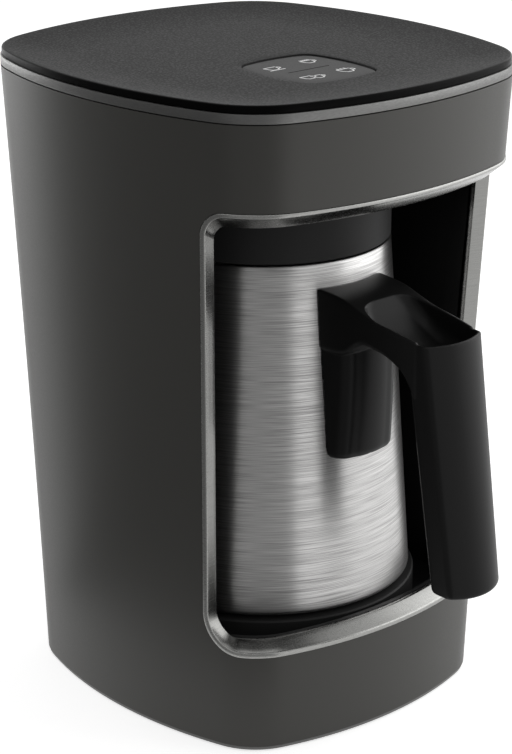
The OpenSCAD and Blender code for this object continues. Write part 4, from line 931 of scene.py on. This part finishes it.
class MAKER_OT_pot(bpy.types.Operator):
    """Turn the pot with its rim, foot and inside"""

    bl_idname = "maker.pot"
    bl_label = "Pot"

    def execute(self, context):
        wall_t, disc_t, disc_r, edge_r, well_r = 1.2, 1.4, 57.1, 2.0, 40
        lip_r = wall_t / 2
        lean, lip_turn = math.degrees(math.atan2(POT_FOOT_R - POT_RIM_R, POT_RIM_Z - POT_Z)), math.degrees(0.1)
        cx, cz = POT_FOOT_R - edge_r - 0.3, POT_Z + edge_r
        outside = bend(cx, cz, edge_r, -90, lean, 11)
        inside = bend(cx, cz + 0.6, edge_r - wall_t, lean, -90, 7)
        start_r, start_z = outside[-1]

        def out_at(z):
            return mix(start_r, POT_RIM_R, (z - start_z) / (POT_RIM_Z - start_z))

        body = [(out_at(z), z) for z in np.linspace(start_z + 1.5, POT_RIM_Z - 0.6, 24)]
        lip = bend(POT_RIM_R - lip_r, POT_RIM_Z - lip_r, lip_r, lip_turn, 180 - lip_turn, 8)
        inner = [(out_at(z) - wall_t, z) for z in np.linspace(POT_RIM_Z - 1.0, inside[0][1] + 1.0, 20)]
        under, floor = POT_Z + disc_t, POT_Z + disc_t + wall_t
        profile = [(0, under), (disc_r, under), (disc_r, POT_Z + 0.05), *outside, *body, *lip, *inner, *inside,
                   (well_r, floor), (0, floor)]
        mesh = lathe("pot_skin", profile, (0, POT_Y), context.scene.maker_pot.steps)
        piece("pot_skin", mesh, ["steel"], body="pot", instead_of=["pot_body"], crease=40)
        return {"FINISHED"}


def bowed_r(flat, bow):
    return (flat**2 + bow**2) / (2 * bow)


def section(half, back, front, bow, r_back, r_front):
    """A rounded section whose front is an arc tangent to its corners."""
    flat, turn = half - r_front, 0
    middle = np.stack([np.linspace(-flat, flat, 19)[1:-1], np.full(17, front)], 1)
    if bow:
        r = bowed_r(flat, bow)
        turn = math.degrees(math.asin(flat / r))
        middle = bend(0, front + r_front + r - bow, r + r_front, 270 - turn, 270 + turn, 18)[1:-1]
    return np.concatenate([
        bend(half - r_back, back - r_back, r_back, 0, 90, 6), bend(r_back - half, back - r_back, r_back, 90, 180, 6),
        bend(-flat, front + r_front, r_front, 180, 270 - turn, 8), middle,
        bend(flat, front + r_front, r_front, 270 + turn, 360, 8)])


class MAKER_OT_handle(bpy.types.Operator):
    """Build the handle: block, shelf, open channel and grip"""

    bl_idname = "maker.handle"
    bl_label = "Handle"

    def execute(self, context):
        s = context.scene.maker_handle
        grip_low, shelf = levels("handle")
        block_low = POT_Z + 65.5
        block_w, block_out, block_r, block_bow, draft, root = 34.6, 13.0, 6.5, 1.3, math.radians(15), 3.0
        grip_w, grip_end_w, grip_t, grip_bow, grip_r = 31.6, 28.4, 13.0, 3.4, 3.5
        reach, lean, channel_wall, drop, play, most_triangles = 116.5, 15.8, 1.6, 10.6, 0.12, 185000

        def pot_r(z):
            return mix(POT_FOOT_R, POT_RIM_R, (z - POT_Z) / (POT_RIM_Z - POT_Z))

        def across(points, y):
            return np.column_stack([points[:, 0], np.full(len(points), -y), shelf + points[:, 1]])

        def block_ring(z, inset):
            y, down = POT_Y - pot_r(z), (shelf - z) / (shelf - block_low)
            half = block_w / 2 - 0.8 * down - inset
            out = block_out - block_bow - block_r - 5.8 * down**2 - inset
            side = half - (out + root + block_r * math.sin(draft)) * math.tan(draft) - block_r * math.cos(draft)
            t = np.linspace(-1, 1, 15)[1:-1]
            return upright(np.concatenate([
                bend(half - 1, y + 9, 1, 0, 90, 4), bend(1 - half, y + 9, 1, 90, 180, 4), [[-half, y + root]],
                bend(-side, y - out, block_r, 195, 262, 12),
                np.stack([side * t, y - out - block_r - block_bow * (1 - t * t)], 1),
                bend(side, y - out, block_r, 278, 345, 12), [[half, y + root]]]), z)

        foot = smooth_table([(0, 2.6), (0.5, 1.35), (1.3, 0.55), (2.6, 0.1), (4, 0)], 12)
        block = [block_ring(block_low + h, i) for h, i in foot]
        block += [block_ring(z, 0) for z in np.linspace(block_low + 6, shelf - 14, 22)]
        arm_from = -POT_Y + pot_r(shelf) + block_out - block_bow

        def arm_at(share):
            return mix(arm_from, reach, share)

        # distance out, half width, underside and top of the arm, then the same for the channel with its floor
        block_half, grip_half = block_w / 2, grip_w / 2
        arm_rows = smooth_table([
            (arm_from - 19, block_half, -26, 0), (arm_from - 9, block_half, -26, -0.5),
            (arm_at(0.015), block_half, -24.4, -1.7), (arm_at(0.2), block_half, -18.6, -4.2),
            (arm_at(0.375), block_half, -18.6, -6.5),
            (arm_at(0.55), grip_half + 1.3, -20.4, -7.7), (arm_at(0.726), grip_half + 0.9, -25, -8.9),
            (arm_at(0.857), grip_half + 0.3, -34, 0.8 - drop)], 48)
        arm = [across(section(half, top - base, 0, 0, 0.8, 3) + (0, base), y) for y, half, base, top in arm_rows]
        half, deep = grip_half - channel_wall, -drop - 13
        channel_rows = smooth_table([
            (arm_at(0.12), half - 4, -3), (arm_at(0.2), half - 1, -8.5), (arm_at(0.35), half + 1, -14.4),
            (arm_at(0.55), half + 1, -18.6), (arm_at(0.726), half + 0.7, deep + 3),
            (arm_at(0.83), half + 0.3, deep)], 40)
        end = reach + grip_bow - channel_wall
        end_r = bowed_r(grip_half - grip_r, grip_bow) + grip_r - channel_wall
        ends = [(end - d, min(half, math.sqrt(2 * end_r * d - d * d)), deep)
                for d in (5.2, 4.4, 3.7, 3.2, 2.7, 2.2, 1.7, 1.3, 0.9, 0.6, 0.35, 0.15, 0.05)]
        channel = [across(section(h, 60, 0, 0, 0.8, min(5, h - 1)) + (0, base), y)
                   for y, h, base in (*channel_rows, *ends)]

        def grip_ring(t, inset):
            z, y = mix(shelf - drop, grip_low, t), -reach - lean * t
            half = mix(grip_w, grip_end_w, t) / 2
            return upright(section(half - inset, y + grip_t - inset, y + inset, grip_bow, 2.5, grip_r), z)

        grip_foot = ((0, 2.4), (0.002, 1.7), (0.005, 1.0), (0.01, 0.4), (0.018, 0.1), (0.03, 0))
        grip = [grip_ring(1 - t, i) for t, i in grip_foot] + [grip_ring(t, 0) for t in np.linspace(0.95, 0, 30)]
        parts = [skin(name, rings, capped=True) for name, rings in (("block", block), ("arm", arm), ("grip", grip))]

        # room for the pot, the screw with its boss, and the bracket
        below, above = POT_Z - 5, POT_RIM_Z + 5
        cone = [(0, below), (pot_r(below) + play, below), (pot_r(above) + play, above), (0, above)]
        screw_low, screw_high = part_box("handle_screw")
        seat, deepest = screw_low.z * 1000 + 2.6, POT_Z + 78
        head_r, shank_r, start = 3.1, 1.8, block_low - 2
        bore = [(0, start), (head_r, start), (head_r, seat), (shank_r, seat), (shank_r, deepest), (0, deepest)]
        tab = [upright(np.array([(-14.2, -1.7), (14.2, -1.7), (14.2, 12), (-14.2, 12)]) + (0, POT_Y - pot_r(z)), z)
               for z in (POT_Z + 71.5, POT_Z + 118.5)]
        out = POT_Y - pot_r(POT_Z + 74) - 6.6
        boss = [upright([(-5.4, out), (5.4, out), (5.4, -50), (-5.4, -50)], z) for z in (POT_Z + 73.6, POT_Z + 84.4)]
        tools = [skin("channel", channel, capped=True), lathe("cone", cone, (0, POT_Y), 256),
                 lathe("bore", bore, (0, (screw_low.y + screw_high.y) * 500 - AXIS_Y), 48),
                 skin("tab", tab, capped=True), skin("boss", boss, capped=True)]
        for m in (*parts, *tools):
            tidy(m)
        mesh = cut(cut(parts[0], *parts[1:], operation="UNION"), *tools)
        voxel = s.voxel * 1
        mesh = modified(mesh, ("REMESH", dict(mode="VOXEL", voxel_size=voxel, use_smooth_shade=True)),
                        ("SMOOTH", dict(factor=0.5, iterations=s.rounds)))
        triangles = sum(len(f.vertices) - 2 for f in mesh.polygons)
        mesh = modified(mesh, ("DECIMATE", dict(ratio=min(1, most_triangles / triangles))))
        piece("handle_skin", mesh, ["handle"], body="pot", instead_of=["handle"], crease=70)
        return {"FINISHED"}


def from_tree(name, n, ids, points, values):
    """The mesh that a geometry tree makes of points."""
    obj = loose("work", mesh_of(name, points, []))
    m = obj.modifiers.new("tree", "NODES")
    m.node_group = n.tree
    for label, value in values.items():
        m[ids[label]] = value
    return baked(obj)


def screw_tree():
    """Geometry nodes: a pan-head screw with a crossed recess at each point."""
    n, inn, out, ids = new_tree("Screws on points", "GeometryNodeTree", {
        "Geometry": "Geometry", "Head radius": 0.003, "Head height": 0.0022, "Shank radius": 0.0015, "Length": 0.012,
        "Turn": "Vector", "Finish": "Material"}, {"Geometry": "Geometry"})
    radius, height, length = inn["Head radius"], inn["Head height"], inn["Length"]

    def drum(radius, depth, vertices):
        sizes = {"Vertices": vertices, "Radius": radius, "Depth": depth}
        return n.add("GeometryNodeMeshCylinder", sizes, fill_type="NGON").outputs["Mesh"]

    def moved(mesh, z):
        place = n.add("ShaderNodeCombineXYZ", {"Z": z}).outputs[0]
        return n.add("GeometryNodeTransform", {"Geometry": mesh, "Translation": place}).outputs[0]

    head = moved(drum(radius, height, 32), n.times(height, -0.5))
    shank = moved(drum(inn["Shank radius"], length, 20), n.times(length, 0.5))
    cutter = n.add("GeometryNodeMeshBoolean", {"Mesh 1": head}, operation="DIFFERENCE", solver="EXACT")
    for long, short in (("Y", "X"), ("X", "Y")):
        size = n.add("ShaderNodeCombineXYZ", {long: n.times(radius, 1.1), short: n.times(radius, 0.26), "Z": height})
        bar = n.add("GeometryNodeMeshCube", {"Size": size.outputs[0]}).outputs["Mesh"]
        n.put(cutter, {"Mesh 2": moved(bar, n.times(height, -1.0))})
    both = n.add("GeometryNodeJoinGeometry", {0: cutter.outputs["Mesh"]})
    n.put(both, {0: shank})
    spread = n.add("GeometryNodeInstanceOnPoints",
                   {"Points": inn["Geometry"], "Instance": both.outputs[0], "Rotation": inn["Turn"]})
    n.finish_tree(spread.outputs[0], inn["Finish"], out)
    return n, ids


def islands(mesh):
    """The points of each connected part of a mesh, in millimetres about the housing's axis."""
    bm = bmesh.new()
    bm.from_mesh(mesh)
    bmesh.ops.remove_doubles(bm, verts=bm.verts, dist=1e-6)
    seen, groups = set(), []
    for v in bm.verts:
        stack, group = [v], []
        while stack:
            w = stack.pop()
            if w not in seen:
                seen.add(w)
                group.append(w.co.copy())
                stack += [e.other_vert(w) for e in w.link_edges]
        if group:
            groups.append(np.array(group) * 1000 - (0, AXIS_Y, 0))
    bm.free()
    return groups


class MAKER_OT_screws(bpy.types.Operator):
    """Set the pan-head screws with geometry nodes"""

    bl_idname = "maker.screws"
    bl_label = "Screws"

    def execute(self, context):
        n, ids = screw_tree()
        head_r, near, shank_r = 3.0, 0.05, 0.0015
        # which way a set's screws are turned, their axis, whether the head is above, and shank and head where given
        sets = {
            "base_screws": ((0, 0, 0), 2, False, 12.0, None), "panel_screws": ((0, 0, 0), 2, False, None, 2.2),
            "skirt_screws": ((math.pi, 0, 0), 2, True, 4.6, 2.2),
            "board_screws": ((math.pi / 2, 0, 0), 1, True, 4.2, 1.8),
        }
        for node, (turn, axis, above, shank_l, head_h) in sets.items():
            points = []
            for g in islands(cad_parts[node].data):
                lo, hi = g.min(0), g.max(0)
                middle = (lo + hi) / 2
                round_axis = g - middle
                round_axis[:, axis] = 0
                rim = g[np.abs(np.linalg.norm(round_axis, axis=1) - head_r) < near][:, axis]
                seat = rim.min() if above else rim.max()
                head, shank = head_h or seat - lo[2], shank_l or hi[2] - seat
                middle[axis] = seat
                points.append(middle)
            mesh = from_tree("screw_points", n, ids, points, {
                "Head radius": head_r / 1000, "Head height": head / 1000, "Shank radius": shank_r,
                "Length": shank / 1000, "Turn": turn, "Finish": finish_of("zinc")})
            mesh.name = node + "_set"
            piece(node + "_set", mesh, ["zinc"], instead_of=[node], crease=30)
        return {"FINISHED"}


class MAKER_OT_spring(bpy.types.Operator):
    """Wind the sensor's spring with geometry nodes"""

    bl_idname = "maker.spring"
    bl_label = "Sensor spring"

    def execute(self, context):
        low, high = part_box("sensor_spring")
        wire, turns = 0.0005, 6.0
        radius = (high.x - low.x) / 2 - wire
        n, inn, out, ids = new_tree("Wound spring", "GeometryNodeTree", {
            "Geometry": "Geometry", "Turns": turns, "Radius": radius, "Height": 0.02, "Wire": wire,
            "Finish": "Material"}, {"Geometry": "Geometry"})
        coil = n.add("GeometryNodeCurveSpiral", {
            "Resolution": 28, "Rotations": inn["Turns"], "Start Radius": inn["Radius"], "End Radius": inn["Radius"],
            "Height": inn["Height"]})
        circle = n.add("GeometryNodeCurvePrimitiveCircle", {"Resolution": 10, "Radius": inn["Wire"]})
        sweep = n.add("GeometryNodeCurveToMesh", {
            "Fill Caps": True, "Curve": coil.outputs[0], "Profile Curve": circle.outputs[0]})
        n.finish_tree(sweep.outputs[0], inn["Finish"], out)
        mesh = from_tree("spring_point", n, ids, [(0, 0, 0)], {
            "Turns": turns, "Radius": radius, "Height": high.z - low.z - 2 * wire, "Wire": wire,
            "Finish": finish_of("zinc")})
        mesh.transform(Matrix.Translation(((low.x + high.x) / 2, (low.y + high.y) / 2, low.z + wire)))
        obj = piece("spring_coil", mesh, ["zinc"], instead_of=["sensor_spring"], crease=60)
        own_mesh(obj)
        return {"FINISHED"}


# ---- Stage ----


def shown_as(n, lit, bright, out):
    """Bright where the camera, a reflection or a clear surface looks; lit for all other light."""
    path = n.add("ShaderNodeLightPath").outputs
    clear = n.maths("MAXIMUM", path["Is Glossy Ray"], path["Is Transmission Ray"])
    pick = n.add("ShaderNodeMixShader", {0: n.maths("MAXIMUM", path["Is Camera Ray"], clear), 1: lit, 2: bright})
    n.put(out, {"Surface": pick.outputs[0]})


def stand(name, data, place, aim):
    """A lamp or camera at a place, turned to its aim."""
    obj = loose(name, data)
    obj.location = place
    obj.rotation_euler = (Vector(aim) - Vector(place)).to_track_quat("-Z", "Y").to_euler()
    return obj


class MAKER_OT_stage(bpy.types.Operator):
    """Set the floor, the soft studio light and the camera"""

    bl_idname = "maker.stage"
    bl_label = "Stage"

    def execute(self, context):
        scene, s = context.scene, context.scene.maker_stage
        scene.view_settings.view_transform = "Standard"
        scene.world = bpy.data.worlds.new("Studio")
        n = cleared(scene.world)
        soft, white = (n.add("ShaderNodeBackground", {"Color": (1, 1, 1, 1), "Strength": strength}).outputs[0]
                       for strength in (s.ambient, 1.0))
        shown_as(n, soft, white, n.add("ShaderNodeOutputWorld"))

        material = bpy.data.materials.new("Pale floor")
        n = cleared(material)
        lit = n.add("ShaderNodeBsdfDiffuse", {"Color": (0.8, 0.8, 0.8, 1)}).outputs[0]
        glow = n.add("ShaderNodeEmission", {"Strength": 0.66}).outputs[0]
        both = n.add("ShaderNodeAddShader", {0: lit, 1: glow}).outputs[0]
        shown_as(n, lit, both, n.add("ShaderNodeOutputMaterial"))
        mesh = bpy.data.meshes.new("floor")
        mesh.from_pydata([(-30, -30, 0), (30, -30, 0), (30, 30, 0), (-30, 30, 0)], [], [(0, 1, 2, 3)])
        mesh.materials.append(material)
        floor = loose("floor", mesh)

        # two dark cards at the left, which only glossy surfaces show
        for name, start, end, tone in (("left_card", 128, 205, s.shade), ("front_card", 205, 250, s.shade * 1.9)):
            card = bpy.data.materials.new(name)
            n = cleared(card)
            grey = n.add("ShaderNodeEmission", {"Strength": tone}).outputs[0]
            n.add("ShaderNodeOutputMaterial", {"Surface": grey})
            rows = [upright(bend(0, 0, r, start, end, 24), z) for r, z in ((150.0, 1.0), (240.0, 1.0), (240.0, 400.0))]
            mesh = mesh_of(name, np.concatenate(rows), rows_to_faces(3, 25, closed_ends=False))
            mesh.materials.append(card)
            obj = loose(name, mesh)
            obj.visible_camera = obj.visible_diffuse = obj.visible_shadow = obj.visible_transmission = False

        for name, place, aim, size, power in (
            ("key_lamp", (1.25, -0.72, 0.6), (0, 0, 0.14), (1.7, 1.5), s.key),
            ("rim_lamp", (-0.25, 1.4, 0.3), (0, 0, 0.14), (1.0, 0.8), s.rim),
            ("top_lamp", (-0.1, 0.1, 1.5), (0, 0, 0.2), (1.2, 1.2), s.fill),
            ("side_lamp", (0.6, 0.1, 0.5), (0.05, 0, 0.24), (0.4, 0.4), s.side),
        ):
            light = bpy.data.lights.new(name, "AREA")
            light.shape, light.size, light.size_y, light.energy = "RECTANGLE", *size, power
            stand(name, light, place, aim).visible_camera = False

        camera = bpy.data.cameras.new("Camera")
        camera.sensor_width, camera.lens = 36, s.lens
        camera.shift_x, camera.shift_y = 0.0018, 0.0013
        camera.clip_start, camera.clip_end = 0.05, 50
        scene.camera = stand("Camera", camera, s.camera_place, s.camera_aim)
        return {"FINISHED"}


STEPS = ("stage", "finishes", "shell", "trim", "ring", "panel", "cap", "pot", "handle", "screws", "spring")


class MAKER_PT_panel(bpy.types.Panel):
    bl_label = "Coffee maker"
    bl_idname = "MAKER_PT_panel"
    bl_space_type = "VIEW_3D"
    bl_region_type = "UI"
    bl_category = "Coffee maker"

    def draw(self, context):
        layout = self.layout
        for group in SETTINGS:
            box = layout.box()
            box.label(text=group.split("_")[1].title())
            settings = getattr(context.scene, group)
            for name in settings.bl_rna.properties.keys():
                if name not in ("rna_type", "name"):
                    box.prop(settings, name)
        for step in STEPS:
            layout.operator("maker." + step)


SETTINGS = {"maker_housing": MakerHousing, "maker_top": MakerTop, "maker_pot": MakerPot, "maker_handle": MakerHandle,
            "maker_stage": MakerStage}
OPERATORS = (MAKER_OT_finishes, MAKER_OT_shell, MAKER_OT_trim, MAKER_OT_ring, MAKER_OT_panel, MAKER_OT_cap,
             MAKER_OT_pot, MAKER_OT_handle, MAKER_OT_screws, MAKER_OT_spring, MAKER_OT_stage)


def register():
    for c in (*SETTINGS.values(), *OPERATORS, MAKER_PT_panel):
        bpy.utils.register_class(c)
    for name, group in SETTINGS.items():
        setattr(bpy.types.Scene, name, PointerProperty(type=group))


def unregister():
    for name in SETTINGS:
        delattr(bpy.types.Scene, name)
    for c in (MAKER_PT_panel, *OPERATORS[::-1], *list(SETTINGS.values())[::-1]):
        bpy.utils.unregister_class(c)


def main():
    register()
    for step in STEPS:
        getattr(bpy.ops.maker, step)()


if __name__ == "__main__":
    main()
